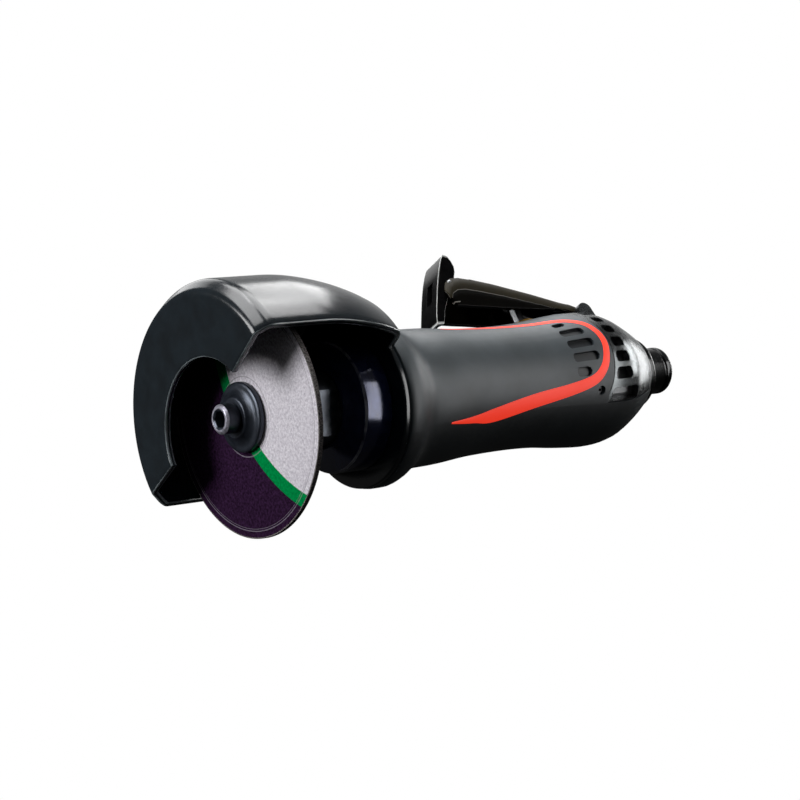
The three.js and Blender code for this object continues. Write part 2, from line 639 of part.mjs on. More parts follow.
// The vane motor
const motorEnd = motor.start + motor.length;
const frontPlateBack = motor.start - GAP;
const frontPocket = frontPlateBack - plate.wall;
const frontPlateStart = frontPocket - frontBearing.width - 2 * GAP;
const rearPlateFront = motorEnd + GAP;
const rearPocket = rearPlateFront + plate.wall;
const rearPlateEnd = rearPocket + rearBearing.width + 2 * GAP;
const washerAt = rearPlateEnd + GAP;
const gasketAt = washerAt + waveWasher.thickness + GAP;
const boreEnd = gasketAt + gasket.thickness + housing.boreRoom;

function makeRotor() {
  const drumStart = motor.start + motor.endGap;
  const drumEnd = motorEnd - motor.endGap;
  const body = turned([
    [drive.rearBoreStart + GAP, 0], [drive.rearBoreStart + GAP, motor.shaft], [drumStart, motor.shaft],
    [drumStart, motor.rotor], [drumEnd, motor.rotor], [drumEnd, motor.rearShaft],
      [rearPocket + rearBearing.width + GAP, motor.rearShaft],
    [rearPocket + rearBearing.width + GAP, 0],
  ]);
  const cut = block([drumStart - GAP, -motor.slotWidth / 2, motor.slotFloor],
    [drumEnd + GAP, motor.slotWidth / 2, motor.rotor + OVER]);
  let rotor = body;
  for (let i = 0; i < motor.vanes; i++) rotor = rotor.subtract(cut.rotate([(FULL_TURN * i) / motor.vanes, 0,
    0]));
  return rotor;
}

function makeVane(number) {
  const from = motor.start + motor.endGap + GAP / 2;
  const to = motorEnd - motor.endGap - GAP / 2;
  const flat = block([from, -motor.vane / 2, motor.slotFloor + GAP], [to, motor.vane / 2, motor.rotor]);
  return flat.rotate([(FULL_TURN * number) / motor.vanes, 0, 0]);
}

// The exhaust channel along the motor's outside, which the cylinder and the rear plate share
function exhaustChannel() {
  const floor = motor.outer - motor.channelDepth;
  return block([motor.start + motor.portWidth, -motor.channelWidth / 2, -motor.outer - OVER],
    [rearPlateEnd + OVER, motor.channelWidth / 2, -floor]);
}

function makeCylinder() {
  const bore = rod(motor.start - OVER, motorEnd + OVER, motor.bore, ROUND).translate([0, 0, -motor.offset]);
  const ports = turnsOf(motor.length, motor.ports + 1).slice(1, -1).map((along) =>
    post(motor.start + along, 0, -motor.outer - OVER, 0, motor.portWidth / 2, TINY));
  const body = rod(motor.start, motorEnd, motor.outer, ROUND).subtract(bore).subtract(exhaustChannel());
  return dowelHoles(ports.reduce((rest, port) => rest.subtract(port), body));
}

function dowelRod(grow) {
  return rod(motorEnd - dowel.bite - grow, rearPlateFront + dowel.bite + grow, dowel.radius + grow,
    TINY).translate([0, 0, motor.outer - dowel.room]);
}

function dowelHoles(body) {
  return body.subtract(dowelRod(GAP));
}

function makeFrontPlate() {
  return turned([
    [frontPlateStart, frontBearing.outer + GAP], [frontPlateStart, motor.outer],
      [frontPlateBack, motor.outer],
    [frontPlateBack, motor.shaft + RUN], [frontPocket, motor.shaft + RUN],
      [frontPocket, frontBearing.outer + GAP],
  ]);
}

function makeRearPlate() {
  const body = turned([
    [rearPlateFront, motor.rearShaft + RUN], [rearPlateFront, motor.outer], [rearPlateEnd, motor.outer],
    [rearPlateEnd, rearBearing.outer + GAP], [rearPocket, rearBearing.outer + GAP],
      [rearPocket, motor.rearShaft + RUN],
  ]);
  return dowelHoles(body.subtract(exhaustChannel()));
}

// A ball bearing as three pieces: inner ring, outer ring, and the balls in their cage
function makeBearing(bearing, from) {
  const to = from + bearing.width;
  const pitch = (bearing.inner + bearing.innerWall + bearing.outer - bearing.outerWall) / 2;
  const middle = (from + to) / 2;
  const race = new THREE.Vector2(middle, pitch);
  const grooveLine = (side) => {
    const reach = bearing.ball + GAP;
    return turnsOf(groove.span * DEGREE, groove.steps).map((turn) => {
      const tilt = turn - (groove.span * DEGREE) / 2;
      return [race.x - reach * Math.sin(tilt), race.y + side * reach * Math.cos(tilt)];
    });
  };
  const innerEdge = bearing.inner + bearing.innerWall;
  const outerEdge = bearing.outer - bearing.outerWall;
  const clampTo = (edge, side) => ([x, r]) => [x, side > 0 ? Math.max(r, edge) : Math.min(r, edge)];
  const inner = turned([[from, bearing.inner], [from, innerEdge],
    ...grooveLine(-1).reverse().map(clampTo(innerEdge, -1)),
    [to, innerEdge], [to, bearing.inner]], SMALL);
  const outer = turned([[from, outerEdge], [from, bearing.outer], [to, bearing.outer], [to, outerEdge],
    ...grooveLine(1).map(clampTo(outerEdge, 1))], SMALL);
  let balls = tube(middle - bearing.ball / 2, middle + bearing.ball / 2, pitch - cage / 2,
    pitch + cage / 2);
  for (let i = 0; i < bearing.balls; i++) {
    const ball = solidOf(new THREE.SphereGeometry(bearing.ball, ballSides, ballRings).rotateZ(TURN / 4));
    const [, y, z] = around(0, (FULL_TURN * i) / bearing.balls, pitch);
    balls = balls.add(ball.translate([middle, y, z]));
  }
  return { inner, outer, balls };
}

// The throttle
function makeThrottlePin() {
  const { at, pin, rise, crown, head, headThickness } = throttle;
  const tip = pivotHeight + rise;
  const stem = post(at, 0, -headThickness, tip - pin / 2, pin, TINY);
  const nose = post(at, 0, tip - pin / 2 - GAP, tip, crown, TINY);
  return stem.add(nose).add(post(at, 0, -headThickness, 0, head));
}

function makeSeat() {
  return tube(seat.bottom, seat.bottom + seat.height, seat.inner,
    throttle.bore - GAP).rotate([0, -90, 0]).translate([throttle.at, 0, 0]);
}

function makeValveSpring() {
  const { radius, wire, turns } = valveSpring;
  return coil(radius, wire, turns, plug.top + GAP,
    -throttle.headThickness - GAP).translate([throttle.at, 0, 0]);
}

function makePlug() {
  const body = post(throttle.at, 0, plug.bottom, plug.top, plug.radius);
  return body.subtract(block([throttle.at - plug.radius - OVER, -plug.slotWidth / 2, plug.bottom - OVER],
    [throttle.at + plug.radius + OVER, plug.slotWidth / 2, plug.bottom + plug.slotDepth]));
}

function makeBushing() {
  const top = gripRadius(throttle.at) + GAP;
  const bottom = housing.skin - bushing.length + GAP;
  const shell = post(throttle.at, 0, bottom, top, bushing.outer);
  const flange = post(throttle.at, 0, top - bushing.flangeThickness, top, bushing.flange);
  return shell.add(flange).subtract(post(throttle.at, 0, bottom - OVER, top + OVER, throttle.pin + RUN,
    TINY));
}

// An arched bar along the lever: each station has the height of its back and of its lower edges
function archedBar(stations, halfWidth, inset) {
  return bar(stations.map(([x, back, low]) => {
    const rise = x > lever.roomEnd ? lever.rearArch : lever.arch;
    const arch = turnsOf(TURN / 2, halfRoundSteps).map((turn) =>
      [x, halfWidth * Math.cos(turn), back - rise + (rise - inset) * Math.sin(turn)]);
    return [[x, -halfWidth, low], [x, halfWidth, low], ...arch];
  }));
}

// The lever: an arched channel with an eye at its pivot and a notch for the catch in its front end
function makeLever() {
  const shell = archedBar(leverStations, lever.halfWidth, 0)
    .add(crossRod(lever.pivotAt, pivotHeight, lever.halfWidth, lever.eye));
  const hollow = leverStations.filter(([x]) => x < lever.roomEnd).map(([x, back, low]) => [x, back,
    low - OVER]);
  const [firstX, ...first] = hollow[0];
  const [lastX, ...last] = hollow[hollow.length - 1];
  const room = archedBar([[firstX - OVER, ...first], ...hollow.slice(1, -1), [lastX, ...last]],
    lever.halfWidth - lever.wall, lever.wall);
  const notchSide = latch.halfWidth + GAP;
  const notch = block([firstX - OVER, -notchSide, first[1]],
    [lever.notchEnd, notchSide, latchHeight + latch.rise]);
  const reach = lever.halfWidth + OVER;
  return shell.subtract(room).subtract(notch)
    .subtract(crossRod(lever.pivotAt, pivotHeight, reach, leverPin.radius + GAP, TINY))
    .subtract(crossRod(latch.pivotAt, latchHeight, reach, latchPin.radius + GAP, TINY));
}

// The catch: a leaning web with a window, and a cheek on each side that the pin goes through
function makeLatch() {
  const { pivotAt, halfWidth, wall } = latch;
  const whole = sidePlate([...latchFront, ...latchRear], halfWidth);
  const inside = latchFront.map(([x, z]) => [x + wall, z - wall / 2]);
  const room = sidePlate([...inside, [inside[inside.length - 1][0] + 2 * OVER,
    inside[inside.length - 1][1]],
    [latchRear[1][0] + OVER, latchRear[3][1]], [latchRear[3][0] + OVER, inside[0][1] - OVER],
      [inside[0][0], inside[0][1] - OVER]],
  halfWidth - wall);
  const { drop, rise, depth } = latchWindow;
  const opening = block([pivotAt - 2 * depth, -latchWindow.halfWidth, latchHeight - drop],
    [pivotAt, latchWindow.halfWidth, latchHeight + rise]);
  return whole.subtract(room).subtract(opening)
    .subtract(crossRod(pivotAt, latchHeight, halfWidth + OVER, latchPin.radius + RUN, TINY));
}

function makeLatchSpring() {
  const half = latch.halfWidth - latch.wall - latchSpring.room;
  return coil(latchSpring.radius, latchSpring.wire, latchSpring.turns, -half, half)
    .rotate([90, 0, 0]).translate([latch.pivotAt, 0, latchHeight]);
}

// The scene graph: the tool hangs in a group that puts the socket's floor at the origin
const part = new THREE.Group();
const tool = new THREE.Group();
tool.position.x = -socketFloor;
part.add(tool);

function place(name, solid, colour) {
  const mesh = solid.getMesh();
  const geometry = new THREE.BufferGeometry();
  geometry.setAttribute("position", new THREE.BufferAttribute(mesh.vertProperties, 3));
  geometry.setIndex(new THREE.BufferAttribute(mesh.triVerts, 1));
  geometry.computeVertexNormals();
  const [color, roughness, metalness] = colours[colour];
  const piece = new THREE.Mesh(geometry, new THREE.MeshStandardMaterial({ color, roughness, metalness,
    flatShading: true }));
  piece.name = name;
  tool.add(piece);
}

place("guard", makeGuard(), "guard");
place("clamp_nut", makeNut(), "nut");
place("cutting_disc", makeDisc(), "disc");
place("clamp_washer", makeWasher(), "screwSteel");
place("disc_screw", makeScrew(), "screwSteel");
place("drive_flange", makeDrive(), "drive");

place("rotor", makeRotor(), "steel");
for (let i = 0; i < motor.vanes; i++) place(`vane_${i + 1}`, makeVane(i), "fibre");
place("motor_cylinder", makeCylinder(), "castIron");
place("front_end_plate", makeFrontPlate(), "castIron");
place("rear_end_plate", makeRearPlate(), "castIron");
place("plate_dowel", dowelRod(0), "steel");
for (const [name, bearing, from] of [
  ["front_bearing", frontBearing, frontPocket - GAP - frontBearing.width],
  ["rear_bearing", rearBearing, rearPocket + GAP],
]) {
  const { inner, outer, balls } = makeBearing(bearing, from);
  place(`${name}_inner_ring`, inner, "steel");
  place(`${name}_outer_ring`, outer, "steel");
  place(`${name}_balls`, balls, "brass");
}
place("front_seal", tube(frontPlateStart - GAP - seal.thickness, frontPlateStart - GAP, seal.inner,
  seal.outer), "rubber");
place("wave_washer", tube(washerAt, washerAt + waveWasher.thickness, waveWasher.inner, motor.outer),
  "steel");
place("rear_gasket", tube(gasketAt, gasketAt + gasket.thickness, gasket.inner, motor.outer), "rubber");

place("housing", makeHousing(), "castIron");
place("grip", makeGrip(), "grip");
place("stripe_near", makeStripe(false), "stripe");
place("stripe_far", makeStripe(true), "stripe");
place("rear_cap", makeCap(), "cap");
place("exhaust_screen", makeScreen(), "mesh");
place("cap_lock_screw", makeLockScrew(), "black");
place("inlet_bushing", makeInlet(), "black");
place("inlet_lock_ring", makeLockRing(), "black");
place("inlet_strainer", makeStrainer(), "brass");

place("throttle_pin", makeThrottlePin(), "steel");
place("valve_seat", makeSeat(), "rubber");
place("valve_spring", makeValveSpring(), "steel");
place("valve_plug", makePlug(), "brass");
place("pin_bushing", makeBushing(), "brass");

place("throttle_lever", makeLever(), "lever");
place("lever_pin", crossRod(lever.pivotAt, pivotHeight, leverPin.halfLength, leverPin.radius, TINY),
  "steel");
place("lock_off_catch", makeLatch(), "black");
place("catch_pin", crossRod(latch.pivotAt, latchHeight, latchPin.halfLength, latchPin.radius, TINY),
  "steel");
place("catch_spring", makeLatchSpring(), "steel");

export default part;
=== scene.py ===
# %% [markdown]
# # An air-powered cut-off grinder, dressed piece by piece
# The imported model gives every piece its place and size. This lesson builds the pieces that show again
# as smooth surfaces and gives each one a finish. They could be modelled by hand, but surfaces worked
# out with numpy keep to the measured sizes, and a changed number changes the shape. Sizes are
# millimetres, counted along the tool from the middle of the disc.

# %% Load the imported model
import math

import bmesh
import bpy
import numpy as np
from mathutils import Matrix, Vector


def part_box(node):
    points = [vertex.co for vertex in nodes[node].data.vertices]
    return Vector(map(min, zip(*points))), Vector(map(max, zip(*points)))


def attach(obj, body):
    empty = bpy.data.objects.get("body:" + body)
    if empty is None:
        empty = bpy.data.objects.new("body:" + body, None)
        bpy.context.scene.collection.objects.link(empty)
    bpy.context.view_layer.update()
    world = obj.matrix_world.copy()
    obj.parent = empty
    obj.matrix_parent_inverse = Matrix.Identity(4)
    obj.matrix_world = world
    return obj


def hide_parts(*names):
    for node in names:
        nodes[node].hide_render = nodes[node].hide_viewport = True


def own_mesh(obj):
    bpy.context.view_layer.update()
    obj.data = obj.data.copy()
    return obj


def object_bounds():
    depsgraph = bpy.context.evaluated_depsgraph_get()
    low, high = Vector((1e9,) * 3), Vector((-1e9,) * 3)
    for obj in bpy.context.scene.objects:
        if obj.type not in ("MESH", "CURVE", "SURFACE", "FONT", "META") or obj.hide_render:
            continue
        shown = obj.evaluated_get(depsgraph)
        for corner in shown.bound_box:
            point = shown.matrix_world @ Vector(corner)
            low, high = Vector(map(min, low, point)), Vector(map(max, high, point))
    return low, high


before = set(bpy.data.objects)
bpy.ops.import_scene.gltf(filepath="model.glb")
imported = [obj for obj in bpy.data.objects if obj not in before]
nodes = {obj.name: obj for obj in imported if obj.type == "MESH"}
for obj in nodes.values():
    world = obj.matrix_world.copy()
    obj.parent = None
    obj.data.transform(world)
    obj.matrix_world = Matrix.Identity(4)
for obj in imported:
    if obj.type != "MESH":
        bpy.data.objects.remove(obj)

cad_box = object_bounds()
print("nodes:", len(nodes), "box in mm:", [[round(1000 * v, 1) for v in corner] for corner in cad_box])

# %% [markdown]
# Blender works in metres and the drawing in millimetres. Every number could be written in metres, but
# millimetres are easier to check against the real tool, so one function turns drawing points into
# points of the frame. The disc's own box says where its middle lies.

# %% Units and places
MM = 0.001
disc_low, disc_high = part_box("cutting_disc")
DISC_AT = (disc_low.x + disc_high.x) / 2


def to_frame(points):
    """Drawing points in mm become metres in the frame: times 0.001, with x moved to the disc."""
    return np.asarray(points, float) * MM + np.array([DISC_AT, 0.0, 0.0])


def around(x, radius, angle):
    """A point round the tool's axis: (x, -r cos a, r sin a), a = 0 at the near side and 90 on top."""
    x, radius, angle = np.broadcast_arrays(x, radius, np.radians(angle))
    return np.stack([x, -radius * np.cos(angle), radius * np.sin(angle)], -1)


print("the disc's middle lies at", round(DISC_AT / MM, 3), "mm")

# %% [markdown]
# A surface here is a grid of points. Its faces join each point to the next one in its row and its
# column, and a direction that closes on itself joins the last line to the first. Curves or Boolean
# cuts could make the same shapes, but a grid keeps its faces where they are wanted, and a hole is just
# cells left out. Welding closes the poles.

# %% Grids, sheets and pieces
WELD = 1e-6
BEVEL_OVER = math.radians(35)


def grid(points, round_rows=True, round_columns=True):
    """Quads (i, j), (i, j+1), (i+1, j+1), (i+1, j) over a [rows, columns, 3] grid of points."""
    rows, columns = points.shape[:2]
    i = np.arange(rows if round_rows else rows - 1)[:, None]
    j = np.arange(columns if round_columns else columns - 1)[None, :]
    down, right = (i + 1) % rows, (j + 1) % columns
    quads = [i * columns + j, i * columns + right, down * columns + right, down * columns + j]
    return points.reshape(-1, 3), np.stack(np.broadcast_arrays(*quads), -1).reshape(-1, 4)


def sheet(outer, inner, keep, round_columns=False, floor=None):
    """A wall between two grids. Cells that aren't kept are holes, or pockets down to a floor grid, and
    every line between a kept and a left-out cell gets a side face."""
    rows, columns = outer.shape[:2]
    cells = keep.shape[1]
    at = np.arange(rows * columns).reshape(rows, columns)
    below, pocket = rows * columns, 2 * rows * columns
    i, j = np.indices(keep.shape)
    right = (j + 1) % columns
    cell = np.stack([at[i, j], at[i, right], at[i + 1, right], at[i + 1, j]], -1)

    def sides(first, second, at_rim):
        """Faces from two points down to the inner grid at a rim, and else to the floor."""
        drop = np.where(at_rim | (floor is None), below, pocket)
        return np.stack([first, second, second + drop, first + drop], -1)

    flat = np.pad(keep, ((1, 1), (0, 0)))
    line, column = np.nonzero(flat[1:] != flat[:-1])
    at_rim = (line == 0) | (line == rows - 1)
    crosswise = sides(at[line, column], at[line, (column + 1) % columns], at_rim)
    side = np.pad(keep, ((0, 0), (1, 1)), mode="wrap" if round_columns else "constant")
    turn = (side[:, 1:] != side[:, :-1])[:, : cells if round_columns else None]
    row, line = np.nonzero(turn)
    at_rim = np.logical_not(round_columns) & ((line == 0) | (line == cells))
    lengthwise = sides(at[row, line % columns], at[row + 1, line % columns], at_rim)

    layers = [outer, inner] + ([] if floor is None else [floor])
    inside = [cell[keep] + below]
    if floor is not None:
        inside = [cell.reshape(-1, 4) + below, cell[~keep] + pocket]
    faces = np.concatenate([cell[keep], *inside, crosswise, lengthwise])
    return np.concatenate([layer.reshape(-1, 3) for layer in layers]), faces


def piece(name, shells, body, finish, replaced, sharp=32, bevel=0.0, marks=()):
    """One object from shells of (points in mm, quads): welded, turned outwards and smoothed but for
    sharp edges, or with edges over 35 degrees rounded by a bevel of so many mm."""
    starts = np.cumsum([0] + [len(points) for points, _ in shells])
    points = to_frame(np.concatenate([points for points, _ in shells]))
    faces = np.concatenate([quads + start for (_, quads), start in zip(shells, starts)])
    used, faces = np.unique(faces, return_inverse=True)
    mesh = bpy.data.meshes.new(name)
    mesh.from_pydata(points[used], [], faces.reshape(-1, 4))
    for mark, values in dict(marks).items():
        layer = mesh.attributes.new(mark, "FLOAT", "POINT")
        layer.data.foreach_set("value", np.concatenate(values)[used].astype(np.float32))
    work = bmesh.new()
    work.from_mesh(mesh)
    bmesh.ops.remove_doubles(work, verts=work.verts, dist=WELD)
    bmesh.ops.recalc_face_normals(work, faces=work.faces)
    work.to_mesh(mesh)
    work.free()
    mesh.shade_smooth()
    made = bpy.data.objects.new(name, mesh)
    bpy.context.scene.collection.objects.link(made)
    if bevel:
        soften = made.modifiers.new("edge_rounding", "BEVEL")
        soften.width, soften.segments, soften.harden_normals = bevel * MM, 3, True
        soften.limit_method, soften.angle_limit = "ANGLE", BEVEL_OVER
    else:
        mesh.set_sharp_from_angle(angle=math.radians(sharp))
    mesh.materials.append(finish.material)
    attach(made, body)
    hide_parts(replaced)
    print(name, len(mesh.polygons), "faces")


# %% [markdown]
# Most of a grinder is turned on a lathe. The Screw modifier could turn a profile too, but a list of
# corners, each with the length that its edge break takes off both sides, keeps the drawing's sizes in
# view. Carrying it round the axis gives the surface.

# %% Profiles and turned surfaces
def rounded(corners, steps=5):
    """Each corner B of [x, r, cut] becomes B + (1-t)^2 c u + t^2 c v, with u, v the unit vectors to its
    neighbours and c the cut, kept under half of either side."""
    corners = np.array(corners, float)
    place, cut = corners[:, :2], corners[:, 2]
    before, after = np.roll(place, 1, 0) - place, np.roll(place, -1, 0) - place
    long_before, long_after = np.linalg.norm(before, axis=1), np.linalg.norm(after, axis=1)
    cut = np.minimum(cut, 0.49 * np.minimum(long_before, long_after))[:, None, None]
    u = (before / np.maximum(long_before, 1e-9)[:, None])[:, None]
    v = (after / np.maximum(long_after, 1e-9)[:, None])[:, None]
    t = np.linspace(0, 1, steps)[None, :, None]
    return (place[:, None] + cut * ((1 - t) ** 2 * u + t**2 * v)).reshape(-1, 2)


def turned(profile, angles):
    """The profile's [x, r] points carried round the axis to each angle."""
    return around(profile[:, :1], profile[:, 1:], angles)


def full_turn(columns):
    """Equal angles of a full turn, without the last, because the grid closes on itself."""
    return np.arange(columns) * 360.0 / columns


def lathe(name, corners, columns, body, finish, replaced, steps=5):
    """A piece that is one closed profile carried round the tool's axis."""
    piece(name, [grid(turned(rounded(corners, steps), full_turn(columns)))], body, finish, replaced)


square = rounded([[0, 1, 0.1], [0, 2, 0.1], [1, 2, 0.1], [1, 1, 0.1]])
print("a square profile becomes", len(square), "points")


# %% [markdown]
# A finish could be drawn in the node editor, but its arithmetic is easier to read as arithmetic. This
# class wraps a socket, so that an expression such as 1 - mask * 0.3 adds its Math nodes, and a Finish
# holds one material.

# %% Shader maths and finishes
def operator(operation, reflected=False):
    """A method that adds the Math node of an operation on two values."""
    def method(self, other):
        return self.math(operation, *((other, self) if reflected else (self, other)))
    return method


class Signal:
    """A number socket that takes part in Python arithmetic."""

    def __init__(self, tree, socket):
        self.tree, self.socket = tree, socket

    def math(self, operation, *values, clamp=False):
        """The result of one more Math node."""
        node = self.tree.nodes.new("ShaderNodeMath")
        node.operation, node.use_clamp = operation, clamp
        for socket, value in zip(node.inputs, values):
            plug(self.tree, socket, value)
        return Signal(self.tree, node.outputs[0])

    __add__ = __radd__ = operator("ADD")
    __mul__ = __rmul__ = operator("MULTIPLY")
    __sub__, __rsub__ = operator("SUBTRACT"), operator("SUBTRACT", reflected=True)
    __truediv__, __pow__ = operator("DIVIDE"), operator("POWER")
    __gt__, __lt__ = operator("GREATER_THAN"), operator("LESS_THAN")
    most = operator("MAXIMUM")

    def size(self):
        """The value without its sign."""
        return self.math("ABSOLUTE", self)

    def between(self, low, high):
        """1 between two values and 0 elsewhere."""
        return (self > low) * (self < high)

    def step(self, start, end):
        """0 below start and 1 above end, with a straight rise between them."""
        return self.math("DIVIDE", self - start, end - start, clamp=True)


def plug(tree, socket, value):
    """Links a Signal to a socket, or sets the socket to a plain value."""
    if isinstance(value, Signal):
        tree.links.new(value.socket, socket)
    else:
        socket.default_value = value


def colour(code):
    """A colour written as six hex digits, as linear red, green, blue and alpha 1."""
    share = np.array([int(code[i : i + 2], 16) for i in (0, 2, 4)]) / 255
    linear = np.where(share > 0.04045, ((share + 0.055) / 1.055) ** 2.4, share / 12.92)
    return (*linear.tolist(), 1.0)


class Finish:
    """One material and the slot it fills. `sockets` are the same all over the surface."""

    def __init__(self, name, sockets, slot=None):
        self.slot = slot or name
        self.material = bpy.data.materials.new(name)
        self.material.use_nodes = True
        self.tree = self.material.node_tree
        self.shader = self.tree.nodes["Principled BSDF"]
        for socket, value in sockets.items():
            self.shader.inputs[socket].default_value = value
        self.place = self.node("ShaderNodeTexCoord", out="Object")

    def node(self, kind, settings=(), sockets=(), out=0):
        """Any node, with its settings and sockets; the result is one of its outputs."""
        made = self.tree.nodes.new(kind)
        for setting, value in dict(settings).items():
            setattr(made, setting, value)
        for socket, value in dict(sockets).items():
            plug(self.tree, made.inputs[socket], value)
        return Signal(self.tree, made.outputs[out])

    def axis(self, name):
        """One coordinate of the surface point in metres, in the frame."""
        return self.node("ShaderNodeSeparateXYZ", sockets={0: self.place}, out=name)

    def along(self):
        """Millimetres along the tool from the disc's middle."""
        return self.axis("X") / MM - DISC_AT / MM

    def off_axis(self):
        """Millimetres from the tool's axis: sqrt(y^2 + z^2)."""
        return (self.axis("Y") * self.axis("Y") + self.axis("Z") * self.axis("Z")) ** 0.5 / MM

    def mark(self, name):
        """A piece's own mark, from 0 to 1, as its points carry it."""
        return self.node("ShaderNodeAttribute", {"attribute_name": name}, out="Fac")

    def noise(self, grain, detail=2.0, roughness=0.5):
        """Noise whose lumps are about `grain` mm across."""
        return self.node("ShaderNodeTexNoise", sockets={
            "Vector": self.place, "Scale": 1 / (grain * MM), "Detail": detail, "Roughness": roughness})

    def blend(self, share, first, second):
        """A colour that goes from first to second as share goes from 0 to 1."""
        return self.node("ShaderNodeMix", {"data_type": "RGBA"}, {0: share, 6: first, 7: second}, out=2)

    def cloud(self, grain, dark, light):
        """The base colour: a slow change between two shades in lumps of `grain` mm."""
        cloud = self.noise(grain, 3)
        self.tint(self.blend(cloud.step(0.3, 0.7), colour(dark), colour(light)))
        return cloud

    def wear_and_painted_light(self, share, shade):
        """Lays a second shade where share is 1: worn spots in some finishes, painted light or shade in
        others.
        """
        self.tint(self.blend(share, self.base, colour(shade)))

    def tint(self, base):
        """Sets the base colour and keeps it for the shades laid over it."""
        self.base = base
        self.drive("Base Color", base)

    def bump(self, height, depth):
        """Bump from a 0-to-1 height that stands for `depth` mm."""
        sockets = {"Height": height, "Distance": depth * MM, "Strength": 1.0}
        self.drive("Normal", self.node("ShaderNodeBump", sockets=sockets))

    def drive(self, socket, value):
        """Feeds one of the surface's own sockets."""
        plug(self.tree, self.shader.inputs[socket], value)


print("mid grey is", round(colour("808080")[0], 3), "as linear light")


# %% [markdown]
# The photograph looks at the tool from the disc's side and from below, so the camera sits below the
# floor, rolled by some degrees. It could be placed by eye, but its place and axes come from matching
# the disc's ellipse and the barrel's outline, which makes the perspective right all over.

# %% Camera
IMAGE_SIDE = 800
FOCAL_PIXELS = 2260.2
SENSOR_WIDTH = 36
CAMERA_AT = (-400.81, -520.12, -242.54)
CAMERA_RIGHT = Vector((0.77411, -0.51735, -0.36482)).normalized()
CAMERA_UP = Vector((0.08744, -0.48339, 0.87103)).normalized()
CAMERA_BACK = CAMERA_RIGHT.cross(CAMERA_UP).normalized()

camera_data = bpy.data.cameras.new("camera")
camera_data.sensor_width = SENSOR_WIDTH
camera_data.lens = FOCAL_PIXELS / IMAGE_SIDE * SENSOR_WIDTH
camera_data.clip_start, camera_data.clip_end = 0.01, 20
camera = bpy.data.objects.new("camera", camera_data)
bpy.context.scene.collection.objects.link(camera)
camera_axes = Matrix((CAMERA_RIGHT, CAMERA_UP, CAMERA_BACK)).transposed().to_4x4()
camera.matrix_world = Matrix.Translation(Vector(to_frame(CAMERA_AT))) @ camera_axes
bpy.context.scene.camera = camera
print("lens", round(camera_data.lens, 1), "mm")

# %% [markdown]
# Two large soft boxes fill the scene with light, one above the tool and one on the disc's side, as in
# a studio. A few bright lamps could do it all, but black paint shows every one of them. So the other
# boxes are seen only in reflections, and each draws a highlight on the hood, the nut, the sleeve's neck
# or the cap. The world is white to the camera and dark in reflections, with a pale patch behind the
# tool, which lets black paint look black.

# %% Lights and world
middle = (cad_box[0] + cad_box[1]) / 2
CAMERA_FORWARD = -CAMERA_BACK


def soft_box(name, way, distance, size, power, fills=False):
    """An area lamp aimed at the tool from a direction in the camera's right, up and forward. One that
    doesn't fill is seen only in reflections."""
    lamp = bpy.data.lights.new(name, "AREA")
    lamp.shape, lamp.energy = "RECTANGLE", power
    lamp.size, lamp.size_y = size
    holder = bpy.data.objects.new(name, lamp)
    holder.visible_diffuse = fills
    bpy.context.scene.collection.objects.link(holder)
    right, up, forward = way
    out = (CAMERA_RIGHT * right + CAMERA_UP * up + CAMERA_FORWARD * forward).normalized()
    holder.location = middle + out * distance
    holder.rotation_euler = out.to_track_quat("Z", "Y").to_euler()


soft_box("overhead_box", (0.0, 0.95, 0.1), 0.9, (0.8, 0.5), 8.0, fills=True)
soft_box("disc_side_box", (-0.9, 0.22, -0.38), 1.1, (0.6, 0.5), 9.5, fills=True)
soft_box("corner_box", (-0.42, 0.86, -0.08), 0.9, (0.28, 0.85), 5.0)
soft_box("corner_box_behind", (-0.43, 0.52, 0.74), 0.9, (0.3, 0.5), 0.9)
soft_box("back_panel", (0.16, 0.76, 0.62), 0.9, (0.5, 0.2), 1.6)
soft_box("right_panel", (0.96, 0.14, -0.21), 0.8, (0.34, 0.75), 4.5)
soft_box("rear_box", (0.67, 0.15, 0.72), 0.8, (0.06, 0.34), 0.8)
soft_box("neck_box", (0.82, 0.29, 0.49), 0.9, (0.1, 0.4), 2.2)

world = bpy.data.worlds.new("studio")
bpy.context.scene.world = world
world.use_nodes = True
sky = world.node_tree
ray_way = sky.nodes.new("ShaderNodeTexCoord").outputs["Generated"]
rays = sky.nodes.new("ShaderNodeLightPath").outputs


def towards(axis):
    """The cosine between a ray's direction and an axis."""
    dot = sky.nodes.new("ShaderNodeVectorMath")
    dot.operation = "DOT_PRODUCT"
    dot.inputs[1].default_value = axis
    sky.links.new(ray_way, dot.inputs[0])
    return Signal(sky, dot.outputs["Value"])


height, depth, across = towards(CAMERA_UP), towards(CAMERA_FORWARD), towards(CAMERA_RIGHT)
mirrored = Signal(sky, rays["Is Glossy Ray"])
shown = Signal(sky, rays["Is Camera Ray"]).most(Signal(sky, rays["Is Transmission Ray"]))
patch = depth.step(0.6, 0.95) * height.step(-0.06, 0.1) * across.step(-0.45, 0.05)
glow = 0.015 + patch * 0.5 + height.step(0.1, 0.9) * 0.12 + across.step(-0.6, -0.95) * 0.08
lit = mirrored * glow + (1 - mirrored) * (0.01 + height.step(0.0, 0.9) * 0.38)
background = sky.nodes["Background"]
background.inputs["Color"].default_value = (1, 1, 1, 1)
plug(sky, background.inputs["Strength"], shown + (1 - shown) * lit)
bpy.context.scene.view_settings.view_transform = "Standard"

# %% [markdown]
# The floor is pale and lies just under the tool. The photograph's camera stands below it. It could be
# left out, but views from above need its shadow, so it is see-through only from underneath. Away from
# the tool it fades into the world's white, so no horizon shows.

